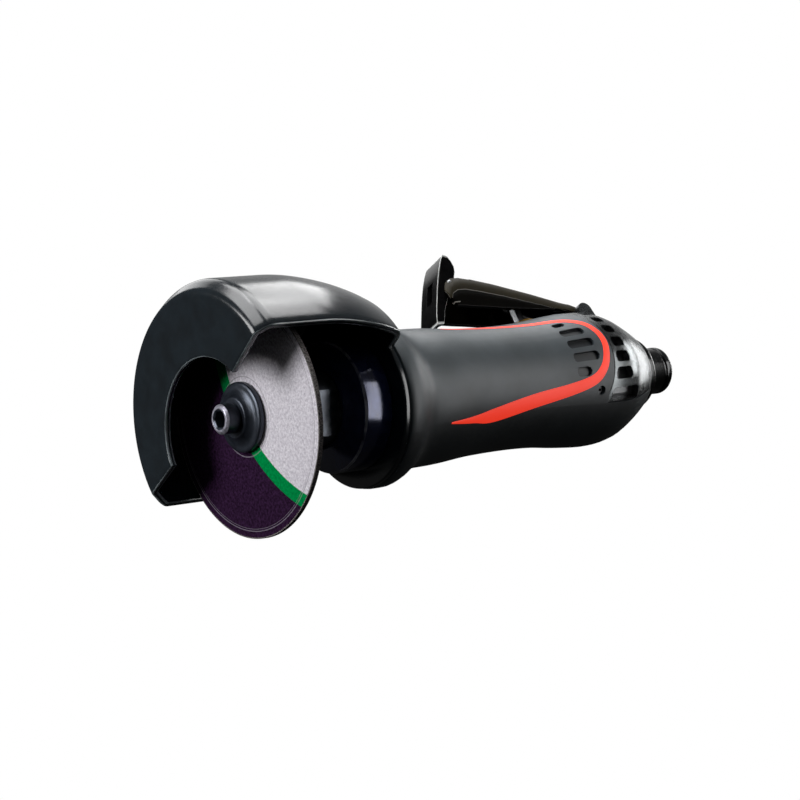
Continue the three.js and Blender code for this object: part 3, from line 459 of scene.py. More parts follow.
# %% Floor
FLOOR_HALF, FLOOR_DROP = 1.5, 0.0003
FADE_START, FADE_END = 120, 420
floor_mesh = bpy.data.meshes.new("floor")
floor_height = cad_box[0].z - FLOOR_DROP
corner_signs = ((-1, -1), (1, -1), (1, 1), (-1, 1))
floor_corners = [(x * FLOOR_HALF, y * FLOOR_HALF, floor_height) for x, y in corner_signs]
floor_mesh.from_pydata(floor_corners, [], [(0, 1, 2, 3)])
floor = bpy.data.objects.new("floor", floor_mesh)
bpy.context.scene.collection.objects.link(floor)
pale = Finish("pale_floor", {
    "Base Color": (0.84, 0.84, 0.84, 1), "Roughness": 0.9, "Specular IOR Level": 0.1})
clear = pale.node("ShaderNodeBsdfTransparent")
white = pale.node("ShaderNodeEmission", sockets={"Color": (1, 1, 1, 1), "Strength": 1.0})
under = pale.node("ShaderNodeNewGeometry", out="Backfacing")
unseen = under.most(1 - pale.node("ShaderNodeLightPath", out="Is Camera Ray"))
surface = Signal(pale.tree, pale.shader.outputs[0])
fade = pale.off_axis().step(FADE_START, FADE_END)
lit_floor = pale.node("ShaderNodeMixShader", sockets={0: fade, 1: surface, 2: white})
either = pale.node("ShaderNodeMixShader", sockets={0: unseen, 1: lit_floor, 2: clear})
plug(pale.tree, pale.tree.nodes["Material Output"].inputs["Surface"], either)
floor_mesh.materials.append(pale.material)
print("floor at", round(floor_height / MM, 2), "mm")

# %% [markdown]
# The guard is sprayed with semi-gloss black paint of a blue-grey tint. One plain colour would look like
# plastic, so the paint is a slow change of shade, a fine orange-peel bump and an uneven gloss. Its
# edges are painted lighter: partly worn where hands and benches touch them, partly a painted highlight
# along the rounded edges. Noise alone can't know where the edges are, so a mark on the mesh says it.

# %% Guard paint
def painted(name, dark, light, rough, grain=6, peel=0.6, sockets=(), slot=None):
    """Paint or rubber: a slow change between two shades, a fine bump and an uneven gloss."""
    made = Finish(name, {"IOR": 1.5, **dict(sockets)}, slot)
    made.cloud(grain, dark, light)
    made.drive("Roughness", rough + (made.noise(2.5, 4) - 0.5) * 0.12)
    made.bump(made.noise(peel, 2), 0.012)
    return made


guard_paint = painted("guard_paint", "0e151a", "161f25", 0.2)
# The edge mark lays a lighter shade: partly worn paint, partly a painted highlight along the edges.
worn_and_lit_breakup = guard_paint.noise(6, 3).step(0.2, 0.6) * 0.6 + 0.25
guard_paint.wear_and_painted_light(guard_paint.mark("edge").step(0.3, 0.9) * worn_and_lit_breakup, "98a2a6")
print("finishes so far:", [m.name for m in bpy.data.materials if m.users])

# %% [markdown]
# The guard is a pressed and welded hood: a flat face with a round cut-out for the hub, a chamfered
# corner, a skirt that narrows towards the tool and a ring that turns on the barrel's nose. A turned
# solid with its mouth cut away would have hard edges. Here one middle line and the wall's thickness
# give both sides, and the wall thins to nothing at its edges, which rounds them.

# %% Guard
HOOD_WALL = 2.2
HOOD_FRONT, HOOD_RADIUS, FACE_RADIUS = -15.2, 42.3, 38.0
SKIRT = [[HOOD_FRONT, FACE_RADIUS, 0], [HOOD_FRONT, 39.3, 0.7], [-11.4, HOOD_RADIUS, 1.2],
         [12, HOOD_RADIUS, 6], [20.5, 41.0, 5], [29, 38.9, 5], [36, 36.4, 5], [41.2, 34.0, 1.6],
         [42.3, 32.4, 1.2], [42.3, 24, 0]]
TURN_RING = [[41.2, 19.35, 0.4], [41.2, 27.2, 0.6], [43.4, 27.2, 0.6], [43.4, 19.35, 0.4]]
MOUTH_START, FACE_END, SKIRT_END, END_SHIFT = 12.0, 187.0, 191.5, 4.5
CUTOUT_RADIUS, CUTOUT_DROP = 24.0, 5.0
EDGE_IN = np.array([0, 0, 0.07, 0.22, 0.5])
EDGE_SHARE = np.array([0, 0.55, 0.74, 0.9, 1.0])
FACE_RUN, EDGE_RADIUS, SWEEP = 20, 40, 120


def normals_of(line):
    """Unit normals of an [n, 2] line: its direction (dx, dr) turned to (-dr, dx)."""
    run = np.gradient(line, axis=0)
    run /= np.maximum(np.linalg.norm(run, axis=1), 1e-9)[:, None]
    return np.stack([-run[:, 1], run[:, 0]], -1)





def resample(line, count):
    """Points at equal distances along a line."""
    line = np.asarray(line, float)
    run = np.concatenate([[0], np.cumsum(np.linalg.norm(np.diff(line, axis=0), axis=1))])
    at = np.linspace(0, run[-1], count)
    return np.stack([np.interp(at, run, line[:, k]) for k in range(line.shape[1])], -1)


def make_guard():
    """The middle line's face row runs from the cut-out's edge r(a) = -d sin a + sqrt(R^2 - d^2 cos^2 a)
    outwards; both sides lie half a wall away along the line's normal."""
    skirt = resample(rounded(SKIRT, 6), 130)
    share = np.concatenate([EDGE_IN / FACE_RUN, np.linspace(0.06, 0.97, 12)])
    fine = len(EDGE_IN)
    ends = np.concatenate([np.zeros(fine), np.linspace(0.02, 0.98, SWEEP), np.ones(fine)])
    wall = np.concatenate([EDGE_SHARE, np.ones(SWEEP), EDGE_SHARE[::-1]])
    inset = np.concatenate([EDGE_IN, np.zeros(SWEEP), -EDGE_IN[::-1]])
    shift = (SKIRT_END - FACE_END) * np.clip((skirt[:, 0] - HOOD_FRONT) / END_SHIFT, 0, 1)
    row_end = np.concatenate([np.full(len(share), FACE_END), FACE_END + shift])[:, None]
    angle = MOUTH_START + (row_end - MOUTH_START) * ends + np.degrees(inset / EDGE_RADIUS)
    sine = np.sin(np.radians(angle[: len(share)]))
    edge = -CUTOUT_DROP * sine + np.sqrt(CUTOUT_RADIUS**2 - CUTOUT_DROP**2 * (1 - sine**2))
    face_radius = edge + (FACE_RADIUS - edge) * share[:, None]
    x = np.vstack([np.full_like(face_radius, HOOD_FRONT), np.tile(skirt[:, :1], len(ends))])
    radius = np.vstack([face_radius, np.tile(skirt[:, 1:], len(ends))])
    normal = np.vstack([np.tile([-1.0, 0.0], (len(share), 1)), normals_of(skirt)])
    rows = np.concatenate([EDGE_SHARE, np.ones(len(share) - fine + len(skirt) - 1), [0]])
    thick = HOOD_WALL / 2 * rows[:, None] * wall
    front, back = (around(x + side * normal[:, :1] * thick, radius + side * normal[:, 1:] * thick, angle)
                   for side in (1, -1))
    ring = turned(rounded(TURN_RING), full_turn(120))
    kept = rows[:, None] * wall
    mark = np.where((kept > 0.5) & (kept < 0.95), 1.0, 0.0).ravel()
    shells = [grid(front, False, False), grid(back, False, False), grid(ring)]
    return shells, [mark, mark, np.zeros(ring[..., 0].size)]


guard_shells, guard_edges = make_guard()
piece("guard_hood", guard_shells, "guard", guard_paint, "guard", marks={"edge": guard_edges})

# %% [markdown]
# The cut-off disc is a thin wheel of grit and resin, pressed and baked, with a paper label on its front:
# a pale speckled field, a green arc and a dark violet field. The dark field lies where the guard's shadow
# falls, so it is partly painted shadow. An image could colour it, but distances from two centres need
# no picture and stay sharp at any size. Elsewhere the bare grit shows, coarse enough to need its own
# bump.

# %% Disc
DISC_HALF, DISC_RADIUS, DISC_BORE = 0.8, 38, 4.9
LABEL_RADIUS, LABEL_HOLE = 37.55, 6
ARC_Y, ARC_Z, ARC_START, ARC_END, ARC_BLUR = -60, 6, 61.0, 65.6, 0.3
LABEL_RINGS = ((12.5, 0.18), (35.6, 0.16), (34.9, 0.08))


def make_disc_finish():
    """The label's colours follow the distance to a point far off on the near side, and thin rings
    follow the radius."""
    made = Finish("abrasive_disc", {"Specular IOR Level": 0.0, "IOR": 1.45})
    r = made.off_axis()
    y, z = made.axis("Y") / MM - ARC_Y, made.axis("Z") / MM - ARC_Z
    away = (y * y + z * z) ** 0.5
    speckle = made.noise(0.9, 5, roughness=0.7)
    paper = made.blend(speckle.step(0.32, 0.68), colour("b4aeb9"), colour("f0edf3"))
    # The dark violet field is print placed where the guard's shadow falls: partly painted shadow.
    field = made.blend(speckle.step(0.35, 0.7), colour("190d1b"), colour("3c2443"))
    green = made.blend(speckle.step(0.3, 0.7), colour("006a35"), colour("009a4e"))
    label = made.blend(away.step(ARC_START, ARC_START + ARC_BLUR), paper, green)
    label = made.blend(away.step(ARC_END, ARC_END + ARC_BLUR), label, field)
    inner, outer, thin = ((r - radius).size() < half for radius, half in LABEL_RINGS)
    label = made.blend(inner.most(outer).most(thin) * 0.55, label, colour("8c8791"))
    grit = made.blend(made.noise(0.35, 2).step(0.35, 0.65), colour("3f3c3d"), colour("8b8684"))
    printed = r.between(LABEL_HOLE, LABEL_RADIUS) * (made.along() < 0.0)
    made.drive("Base Color", made.blend(printed, grit, label))
    made.drive("Roughness", 0.9 - printed * 0.22)
    made.bump(made.noise(0.45, 3) * (1 - printed * 0.75), 0.12)
    return made


WHEEL = [[-DISC_HALF, DISC_BORE, 0.15], [-DISC_HALF, DISC_RADIUS, 0.2], [DISC_HALF, DISC_RADIUS, 0.2],
         [DISC_HALF, DISC_BORE, 0.15]]
lathe("cutting_disc_wheel", WHEEL, 240, "spindle", make_disc_finish(), "cutting_disc")

# %% [markdown]
# A flared washer and a socket screw clamp the disc. Both are turned steel, oxidised blue-black, and
# keys have rubbed the screw's bevel bare. A Boolean could cut the socket. Here the bore's radius blends
# from a hexagon at the socket to a circle at the bevel, so that one closed grid makes both.

# %% Washer and screw
WASHER = [[-1.1, 3.4, 0.2], [-1.1, 11, 0.35], [-2.75, 11, 0.55], [-3.1, 10.3, 0.4], [-3.25, 8.7, 1.6],
          [-4.3, 7.1, 0.9], [-5.3, 6.3, 0.35], [-5.3, 3.4, 0.2]]
SOCKET, SOCKET_FLOOR, BEVEL_IN, BEVEL_END = 2.5, -7.0, 3.3, 4.72
AXIS = 0.001
SCREW = [[SOCKET_FLOOR, AXIS, 0], [SOCKET_FLOOR, SOCKET, 0.15], [-10.15, SOCKET, 0.1],
         [-10.5, BEVEL_IN, 0.12], [-10.5, 3.95, 0.12], [-9.8, 4.7, 0.2], [-5.6, 4.7, 0.2],
         [-5.6, 3.0, 0.1], [13, 3.0, 0.3], [13, AXIS, 0]]


def plated(name, dark, light, rough, metal=0.75, turning=0.0, slot=None):
    """Blackened or bare turned metal: fine lathe lines round the axis and a slow change of shade."""
    made = Finish(name, {"IOR": 1.6, "Metallic": metal}, slot)
    cloud = made.cloud(4, dark, light)
    lines = made.node("ShaderNodeTexNoise", {"noise_dimensions": "1D"}, {
        "W": made.along() * 9 + made.off_axis() * 9, "Detail": 2.0})
    made.drive("Roughness", rough + (lines - 0.5) * 0.16 + (cloud - 0.5) * 0.1)
    made.bump(lines * turning + made.noise(0.7, 2) * 0.4, 0.01)
    return made


def make_screw():
    """The radius is r (1 - s + s h): h = 1 / cos(a within 30 of a side's middle) is a hexagon's, and s
    falls from 1 at the socket to 0 at the bevel's inner edge and outside."""
    profile = rounded(SCREW, 4)
    angles = full_turn(96)
    hexagon = 1 / np.cos(np.radians((angles + 30) % 60 - 30))
    in_bore = profile[:, 0] < SOCKET_FLOOR + 0.1
    share = np.where(in_bore, np.clip((BEVEL_IN - profile[:, 1]) / (BEVEL_IN - SOCKET), 0, 1), 0)[:, None]
    radius = profile[:, 1:] * (1 - share + share * hexagon)
    return grid(around(profile[:, :1], radius, angles), False, True)


oxide = plated("blackened_steel", "262b34", "3c424d", 0.32, 0.6, 1.0)
bare_bevel = oxide.off_axis().between(BEVEL_IN, BEVEL_END) * (oxide.along() < -9.72)
oxide.wear_and_painted_light(bare_bevel * oxide.noise(1.5, 3).step(0.2, 0.5), "c5c3d2")
lathe("clamp_washer_flared", WASHER, 120, "spindle", oxide, "clamp_washer", 6)
piece("disc_screw_socket", [make_screw()], "spindle", oxide, "disc_screw")

# %% [markdown]
# Behind the disc the drive flange is turned from steel and has two milled flats for a wrench. Cuts with
# two boxes could make them. But milling leaves the turned shape wherever it lies inside the flats, so
# the smaller of two radii is the surface, with no cut at all.

# %% Drive flange
FLAT, FLAT_TURN, SHOULDER = 9.5, -35.0, 12
DRIVE = [[0.1, 3.3, 0.1], [0.1, 4.6, 0.2], [1.1, 4.6, 0.1], [1.1, 11, 0.3], [4.1, 11, 0.3],
         [4.4, 8.2, 0.2], [14.98, 8.2, 0.2], [15.3, SHOULDER, 0.5], [28.55, SHOULDER, 0.02],
         [28.65, SHOULDER, 0.02], [31, SHOULDER, 0.4], [31, 5.3, 0.2], [17, 5.3, 0.2], [17, 3.3, 0.1]]
MILLED_START, MILLED_END, MILLED_OVER = 14.9, 28.6, 8.3


def make_drive():
    """A flat at distance f cuts the turned radius R(x) down to min(R, f / |cos(a - turn)|). Columns lie
    on the flats' own edges too, at cos(a - turn) = f / R."""
    profile = rounded(DRIVE, 4)
    reach = math.degrees(math.acos(FLAT / SHOULDER))
    edges = (np.array([-reach, reach, 180 - reach, 180 + reach]) + FLAT_TURN) % 360
    angles = np.sort(np.concatenate([full_turn(120), edges]))
    flat = FLAT / np.maximum(np.abs(np.cos(np.radians(angles - FLAT_TURN))), 1e-6)
    x, turned_radius = profile[:, :1], profile[:, 1:]
    milled = (x > MILLED_START) & (x < MILLED_END) & (turned_radius > MILLED_OVER)
    radius = np.where(milled, np.minimum(turned_radius, flat), turned_radius)
    return grid(around(x, radius, angles))


drive_steel = plated("black_steel", "3c3f44", "6a6e76", 0.36, 0.85, 0.6, "steel")
piece("drive_flange_milled", [make_drive()], "spindle", drive_steel, "drive_flange", sharp=25)

# %% [markdown]
# The clamp nut screws onto the barrel's nose and holds the guard. It is turned with a cone at its
# front, blackened and polished, so a lathe profile makes it. Its front edge is rubbed bright in places.
# A second material could cover that edge, but wear has no outline, so a mask of length, radius and
# noise lets the bare metal through.

# %% Clamp nut
NUT_EDGE, NUT_RADIUS = 30.9, 21.2
NUT = [[27.5, 12.4, 0.3], [27.5, 13.1, 0.3], [30.4, 20.7, 0.5], [NUT_EDGE, NUT_RADIUS, 0.35],
       [40.9, NUT_RADIUS, 0.5], [40.9, 19.3, 0.2], [32, 19.3, 0.2], [32, 12.4, 0.2]]
nut_finish = plated("nut_black", "161c3c", "262e54", 0.14, 0.3, 0.3, "black_steel")
nut_edge = nut_finish.along().between(NUT_EDGE - 0.55, NUT_EDGE + 0.05) * (nut_finish.off_axis() > 20.3)
nut_finish.wear_and_painted_light(nut_edge * nut_finish.noise(5, 2).step(0.3, 0.6) * 0.8, "b9bcc6")
lathe("clamp_nut_cone", NUT, 144, "barrel", nut_finish, "clamp_nut")

# %% [markdown]
# The grip is a moulded rubber sleeve with a flared front rim, a waist, a swell over the exhaust end and
# a tail under the metal cap. Straight lines between its measured stations would leave corners, which
# this mould doesn't have, so its outside line is a Catmull-Rom curve through them.

# %% Grip outline
GRIP_STATIONS = np.array([
    [47.35, 27.6], [48.35, 27.55], [51.353, 26.28], [54.447, 24.344], [57.45, 23.2], [70.815, 22.54],
    [84.18, 21.44], [102, 21], [114.95, 21.432], [127.9, 22.776], [139, 23.4], [144.28, 22.95],
    [149.08, 21.78], [153.4, 19.8], [157.72, 17.55], [160.6, 15.93], [163, 14.4]])
WAIST_AT, GRIP_END, SWELL_RADIUS = 102, 163, 23.4
CAP_EDGE, CAP_EDGE_BACK, CAP_EDGE_TURN = 138, 6, 6


def through(points, steps):
    """Centripetal Catmull-Rom: cubics through the points, tangents from the neighbours' knot spacing."""
    p = np.vstack([2 * points[0] - points[1], points, 2 * points[-1] - points[-2]])
    gap = np.maximum(np.linalg.norm(np.diff(p, axis=0), axis=1), 1e-9)[:, None] ** 0.5
    d0, d1, d2 = gap[:-2], gap[1:-1], gap[2:]
    a, b, c, d = p[:-3], p[1:-2], p[2:-1], p[3:]
    start = ((b - a) / d0 - (c - a) / (d0 + d1) + (c - b) / d1) * d1
    end = ((c - b) / d1 - (d - b) / (d1 + d2) + (d - c) / d2) * d1
    t = np.linspace(0, 1, steps, endpoint=False)[None, :, None]
    b, c, start, end = (v[:, None] for v in (b, c, start, end))
    curve = b + start * t + (3 * (c - b) - 2 * start - end) * t**2 + (2 * (b - c) + start + end) * t**3
    return np.vstack([curve.reshape(-1, points.shape[1]), points[-1]])


grip_line = through(GRIP_STATIONS, 12)


def grip_radius(x):
    """The sleeve's radius at x, straight between the curve's points."""
    return np.interp(x, grip_line[:, 0], grip_line[:, 1])


def bare_start(angle):
    """Where the sleeve gives way to the cap: x = 138 - 6 sin^2 s above s = 0 and 138 - 6 (s / 54)^2
    below, with s six degrees less than the angle up from the side."""
    angle = (np.asarray(angle, float) + 90) % 360 - 90
    side = np.where(angle > 90, 180 - angle, angle) - CAP_EDGE_TURN
    above, below = np.sin(np.radians(side)) ** 2, (side / 54) ** 2
    return CAP_EDGE - CAP_EDGE_BACK * np.where(side > 0, above, below)


print("sleeve radius at the waist:", round(float(grip_radius(WAIST_AT)), 2), "mm")

# %% [markdown]
# The sleeve is one sheet of rubber with five slots on each side, a hole for the cap's screw and a
# rolled front rim. Boolean cuts would leave long thin faces that shade badly, so a slot is a pocket:
# cells of the surface dropped to a floor below it. The grid's columns lie on the slots' sides and its
# rows on their ends, which makes the outlines exact.

# %% Grip sleeve
LOW_ANGLE = -48.0
SLOTS = np.array([[-19, 3.4, 127], [-5.8, 3.4, 131.9], [7.4, 3.4, 131.9], [20.6, 3.4, 131],
                  [32.6, 2.4, 126.1]])
SLOT_ANGLES, SLOT_HALF = SLOTS[:, 0], np.degrees(SLOTS[:, 1] / 2 / SWELL_RADIUS)
SLOT_START, SLOT_DEPTH, SLOTS_END, START_ROUND, STOP_ROUND = 120.8, 1.1, 133.0, 0.9, 1.5
HOLE_AT, HOLE_ANGLE, HOLE_RADIUS, HOLE_DEPTH, HOLE_ARC = 130.4, -36.5, 1.6, 2.0, 22.8
HOLE_LINES = np.array([-2, -1, -1 / 3, 1 / 3, 1, 2])
RIM_X, RIM_EDGE = [43.75, 43.95, 44.4, 46.0, 48.0], [26.9, 27.35, 27.6]
BAND_START, LOW_SIDE = 50.0, -30
BORE_STEP, FRONT_BORE, REAR_BORE, TAIL_START, TAIL_WALL = 47.4, 22.4, 19.75, 136.3, 1.7
SPAN_ROWS = (44, 3, 5, 8)


def anchored(anchors, counts):
    """Rows from per-column anchors [anchors, columns]: each span between two anchors is cut equally."""
    spans = [anchors[k] + (anchors[k + 1] - anchors[k]) * (np.arange(n) / n)[:, None]
             for k, n in enumerate(counts)]
    return np.vstack(spans + [anchors[-1:]])


def side_angles(*one_side):
    """The near side's angles and their mirror images on the far side, with the top and the bottom."""
    one_side = np.concatenate(one_side)
    both = np.concatenate([one_side, 180 - one_side, [90, 270]])
    return np.unique(np.round(both % 360, 4))


def near_side(angles):
    """Each angle's own or its mirror image's on the near side, from -90 to 90."""
    near = (angles + 90) % 360 - 90
    return np.where(near > 90, 180 - near, near)


def opening_lines(middles, halves, share):
    """Columns on each opening's sides, their roundings and its middle, and one between every two."""
    across = middles[:, None] + halves[:, None] * np.array([-1, -share, 0, share, 1])
    return np.append(across, (middles[1:] + middles[:-1]) / 2)


def cells_on(near, middles, halves):
    """Which columns of cells lie on an opening: under 8 degrees wide, with their middle inside it."""
    following = np.roll(near, -1)
    centre = (near + following) / 2
    return (np.abs(centre[:, None] - middles) < halves).any(1) & (np.abs(near - following) < 8)


def ends_round(share, radius):
    """How far a rounded end falls back at share w across the opening: r (1 - sqrt(1 - w^2))."""
    fall = radius * (1 - np.sqrt(np.maximum(1 - np.minimum(np.abs(share), 1) ** 2, 0)))
    return np.where(np.abs(share) <= 1.01, fall, 0)


def around_hole(near, angles):
    """Rows and angles for the columns that cross the screw's hole. In units of its radius a square's
    point (u, v) moves onto the circle: both times max(|u|, |v|) / sqrt(u^2 + v^2)."""
    u, v = HOLE_LINES[:, None], (near - HOLE_ANGLE) * np.radians(HOLE_ARC) / HOLE_RADIUS
    on_hole = np.abs(v) <= 1.1
    inside = on_hole & (np.abs(u) < 1.5)
    scale = np.where(inside, np.maximum(np.abs(u), np.abs(v)) / np.hypot(u, v), 1)
    moved = np.degrees(v * scale * HOLE_RADIUS / HOLE_ARC) + HOLE_ANGLE
    moved = np.where(np.abs(angles - near) % 360 < 0.01, moved, 180 - moved)
    return HOLE_AT + HOLE_RADIUS * u * scale, np.where(on_hole, moved, angles)


def make_grip():
    """Rows run along the tool between per-column anchors: band, slot's start, slot's end, screw or
    blank, and the sleeve's end. The floor lies a pocket's depth under the outside."""
    hole_half = np.degrees(HOLE_RADIUS / HOLE_ARC)
    angles = side_angles(
        [LOW_ANGLE + 0.01, LOW_ANGLE - 0.4, -53, -59, -66, -74, -82], hole_half * HOLE_LINES + HOLE_ANGLE,
        opening_lines(SLOT_ANGLES, SLOT_HALF, 0.72), [38, 44, 51, 58, 65, 72, 79, 86])
    near = near_side(angles)
    pick = np.abs((near[:, None] - SLOT_ANGLES) / SLOT_HALF).argmin(1)
    share = (near - SLOT_ANGLES[pick]) / SLOT_HALF[pick]
    low_side = near < LOW_SIDE
    end = np.where(near > LOW_ANGLE, bare_start(near), GRIP_END)
    begin = SLOT_START + ends_round(share, START_ROUND)
    stop = SLOTS[pick, 2] - ends_round(share, STOP_ROUND)
    stop = np.where(low_side, HOLE_AT - HOLE_RADIUS * 2, stop)
    rest = np.where(low_side, HOLE_AT + HOLE_RADIUS * 2, np.maximum(stop + 0.8, SLOTS_END))
    anchors = np.stack([np.full_like(end, BAND_START), begin, stop, rest, end])
    rim = np.broadcast_to(np.array(RIM_X)[:, None], (len(RIM_X), len(angles)))
    x = np.vstack([rim, anchored(anchors, SPAN_ROWS)])
    slots_from = len(RIM_X) + SPAN_ROWS[0]
    hole_from = slots_from + SPAN_ROWS[1]
    turned_angle = np.broadcast_to(angles, x.shape).copy()
    crosses = np.abs(near - HOLE_ANGLE) < 4.2
    hole_rows = slice(hole_from, hole_from + len(HOLE_LINES))
    x[hole_rows, crosses], turned_angle[hole_rows, crosses] = around_hole(near[crosses], angles[crosses])
    outside = grip_radius(x)
    outside[:3] = np.array(RIM_EDGE)[:, None]
    bore = np.where(x < BORE_STEP, FRONT_BORE, REAR_BORE)
    bore = np.where(x > TAIL_START, np.maximum(outside - TAIL_WALL, 10), bore)
    depths = [0, outside - np.minimum(bore, outside - 0.9), np.where(low_side, HOLE_DEPTH, SLOT_DEPTH)]
    outer, inner, floor = (around(x, outside - depth, turned_angle) for depth in depths)
    rows = np.arange(len(x) - 1)[:, None]
    in_slot = (rows >= slots_from) & (rows < hole_from) & cells_on(near, SLOT_ANGLES, SLOT_HALF)
    in_hole = (rows > hole_from) & (rows < hole_from + 4) & cells_on(near, HOLE_ANGLE, hole_half)
    deep = np.concatenate([np.zeros(2 * outside.size), np.ones(outside.size)])
    return sheet(outer, inner, ~in_slot & ~in_hole, True, floor), deep


grip_rubber = painted("grip_rubber", "363d41", "454d52", 0.46, 14, 0.35, {"Specular IOR Level": 0.36})
# The slot floors are painted dark: painted shade in the pockets, patchy through noise.
pocket_shade_patches = grip_rubber.noise(3, 2) * 0.3 + 0.7
grip_rubber.wear_and_painted_light(grip_rubber.mark("pocket").step(0.35, 1.0) * pocket_shade_patches, "10151b")
grip_shell, grip_pockets = make_grip()
piece("grip_sleeve", [grip_shell], "barrel", grip_rubber, "grip", bevel=0.3,
      marks={"pocket": [grip_pockets]})

# %% [markdown]
# A bright stripe is moulded into each side of the sleeve: a thin tail below that widens, turns round
# the slots and runs back along the top. It could be colour alone, but a crowned strip carried along a
# drawn path also catches the light at its edges. It is given a little emission, a painted glow, though
# it is no lamp.

# %% Stripes
STRIPE_SHARES = np.array([
    [1, -0.99, 0.12], [0.86, -0.99, 0.5], [0.714, -0.966, 0.98], [0.478, -0.806, 0.96],
    [0.255, -0.668, 0.8], [0.122, -0.54, 0.68], [0.056, -0.36, 0.58], [0.018, -0.12, 0.5],
    [0, 0.12, 0.48], [0.01, 0.38, 0.46], [0.052, 0.62, 0.44], [0.143, 0.79, 0.42],
    [0.338, 0.92, 0.4], [0.56, 1.02, 0.36], [0.81, 1.08, 0.12]])
STRIPE_NOSE, STRIPE_RUN, STRIPE_TURN, STRIPE_WIDTH = 136.2, 71.7, 50.0, 5.1
STRIPE_ACROSS = np.array([-1, -0.97, -0.7, 0, 0.7, 0.97, 1, 1, 0, -1])
STRIPE_LIFT = np.array([-0.15, 0.05, 0.11, 0.12, 0.11, 0.05, -0.15, -0.8, -0.8, -0.8])


def make_stripe(side):
    """A closed section of ten points, shares of the half width across the path and heights over the
    sleeve, stands square to the path's direction (dx, r da) at each of its points."""
    path = through(STRIPE_SHARES, 10)
    x, angle = STRIPE_NOSE - path[:, 0] * STRIPE_RUN, path[:, 1] * STRIPE_TURN
    arc = np.radians(grip_radius(x))
    run = np.stack([np.gradient(x), np.gradient(angle) * arc], -1)
    run /= np.linalg.norm(run, axis=1)[:, None]
    reach = STRIPE_ACROSS * (path[:, 2] * STRIPE_WIDTH / 2)[:, None]
    place = x[:, None] - reach * run[:, 1:]
    turn = angle[:, None] + reach * run[:, :1] / arc[:, None]
    points = around(place, grip_radius(place) + STRIPE_LIFT, turn)
    tips = [end.mean(1, keepdims=True).repeat(len(STRIPE_ACROSS), 1) for end in (points[:1], points[-1:])]
    points = np.concatenate([tips[0], points, tips[1]])
    return grid(points * np.array([1, side, 1]), False, True)


# The emission is a painted glow that keeps the stripe bright.
stripe_rubber = painted("stripe_rubber", "f0301a", "ff4028", 0.5, 8, 0.3, {
    "Emission Color": colour("ff3a22"), "Emission Strength": 0.7, "Specular IOR Level": 0.3})
piece("stripe_near_strip", [make_stripe(1)], "barrel", stripe_rubber, "stripe_near")
piece("stripe_far_strip", [make_stripe(-1)], "barrel", stripe_rubber, "stripe_far")

# %% [markdown]
# The rear cap is cast metal with exhaust windows on each side and two ears for the lever's pin. Its
# front edge follows the sleeve's, half a millimetre away. Boolean cuts could open the windows, but
# cells left out of a sheet keep the curved wall smooth round them. A turned core closes the cap inside.

# %% Rear cap
WINDOWS = np.array([[134.9, 149.2, -41, 4.6], [137, 146, -23.5, 4.2], [138.6, 146, -9, 4.1],
                    [139.6, 145.8, 5, 4], [139.6, 145.2, 19.5, 3.8], [139.4, 144.6, 34, 3.6],
                    [139.2, 144, 49, 3.4]])
WINDOW_HALF = np.degrees(WINDOWS[:, 3] / 2 / SWELL_RADIUS)
WINDOW_RIM, WINDOW_ROUND, SLEEVE_GAP = 0.9, 1.1, 0.5
CAP_LOW, CAP_STEP, CAP_END, CAP_CLOSE = -47.5, 151, 162.98, 160.5
CAP_WALL, CAP_BORE, NECK_BORE, CAP_DROP, CAP_UNDER = 1.8, 19.5, 12.2, 0.15, 2.05
CAP_ROWS = (2, 4, 2, 12)
CORE = [[TAIL_START, 8, 0.3], [TAIL_START, 19.2, 0.3], [139.6, 19.2, 0.3], [139.6, 11.2, 0.3],
        [152, 11.2, 0.3], [152, 18.5, 0.3], [158, 16, 0.3], [162.9, 14.2, 0.3], [163, 9.1, 0.3],
        [152.5, 9.1, 0.2], [150, 8, 0.2]]
LEVER_PIN, EAR_RADIUS, EAR_IN, EAR_OUT = (149, 21.8), 3, 7.4, 9.6
EAR_FEET = [[144.5, 15], [153.5, 15]]


def make_cap_shell():
    """Rows run between per-column anchors: the cap's edge, a window's front and back, the shoulder and
    the end. The radius is the sleeve's less a hair above, and less the sleeve's wall below."""
    angles = side_angles([CAP_LOW, CAP_LOW - 0.3, -52, -60, -70, -80, 58, 64, 70, 76, 83],
                         opening_lines(WINDOWS[:, 2], WINDOW_HALF, 0.78))
    near = near_side(angles)
    upper = near > CAP_LOW - 0.1
    pick = (np.abs(near[:, None] - WINDOWS[:, 2]) - WINDOW_HALF).argmin(1)
    fall = ends_round((near - WINDOWS[pick, 2]) / WINDOW_HALF[pick], WINDOW_ROUND)
    start = np.where(upper, bare_start(near) + SLEEVE_GAP, TAIL_START)
    front = np.maximum(WINDOWS[pick, 0], start + WINDOW_RIM) + fall
    ends = np.broadcast_to([[CAP_STEP], [CAP_END]], (2, len(start)))
    x = anchored(np.vstack([start, front, WINDOWS[pick, 1] - fall, ends]), CAP_ROWS)
    radius = grip_radius(x) - np.where(upper, CAP_DROP, CAP_UNDER)
    outer = around(x, radius, angles)
    bore = np.maximum(np.minimum(radius - CAP_WALL, CAP_BORE), NECK_BORE)
    inner = around(np.minimum(x, CAP_CLOSE), bore, angles)
    rows = np.arange(len(x) - 1)[:, None] - CAP_ROWS[0]
    in_window = (rows >= 0) & (rows < CAP_ROWS[1]) & cells_on(near, WINDOWS[:, 2], WINDOW_HALF)
    return sheet(outer, inner, ~in_window, True)


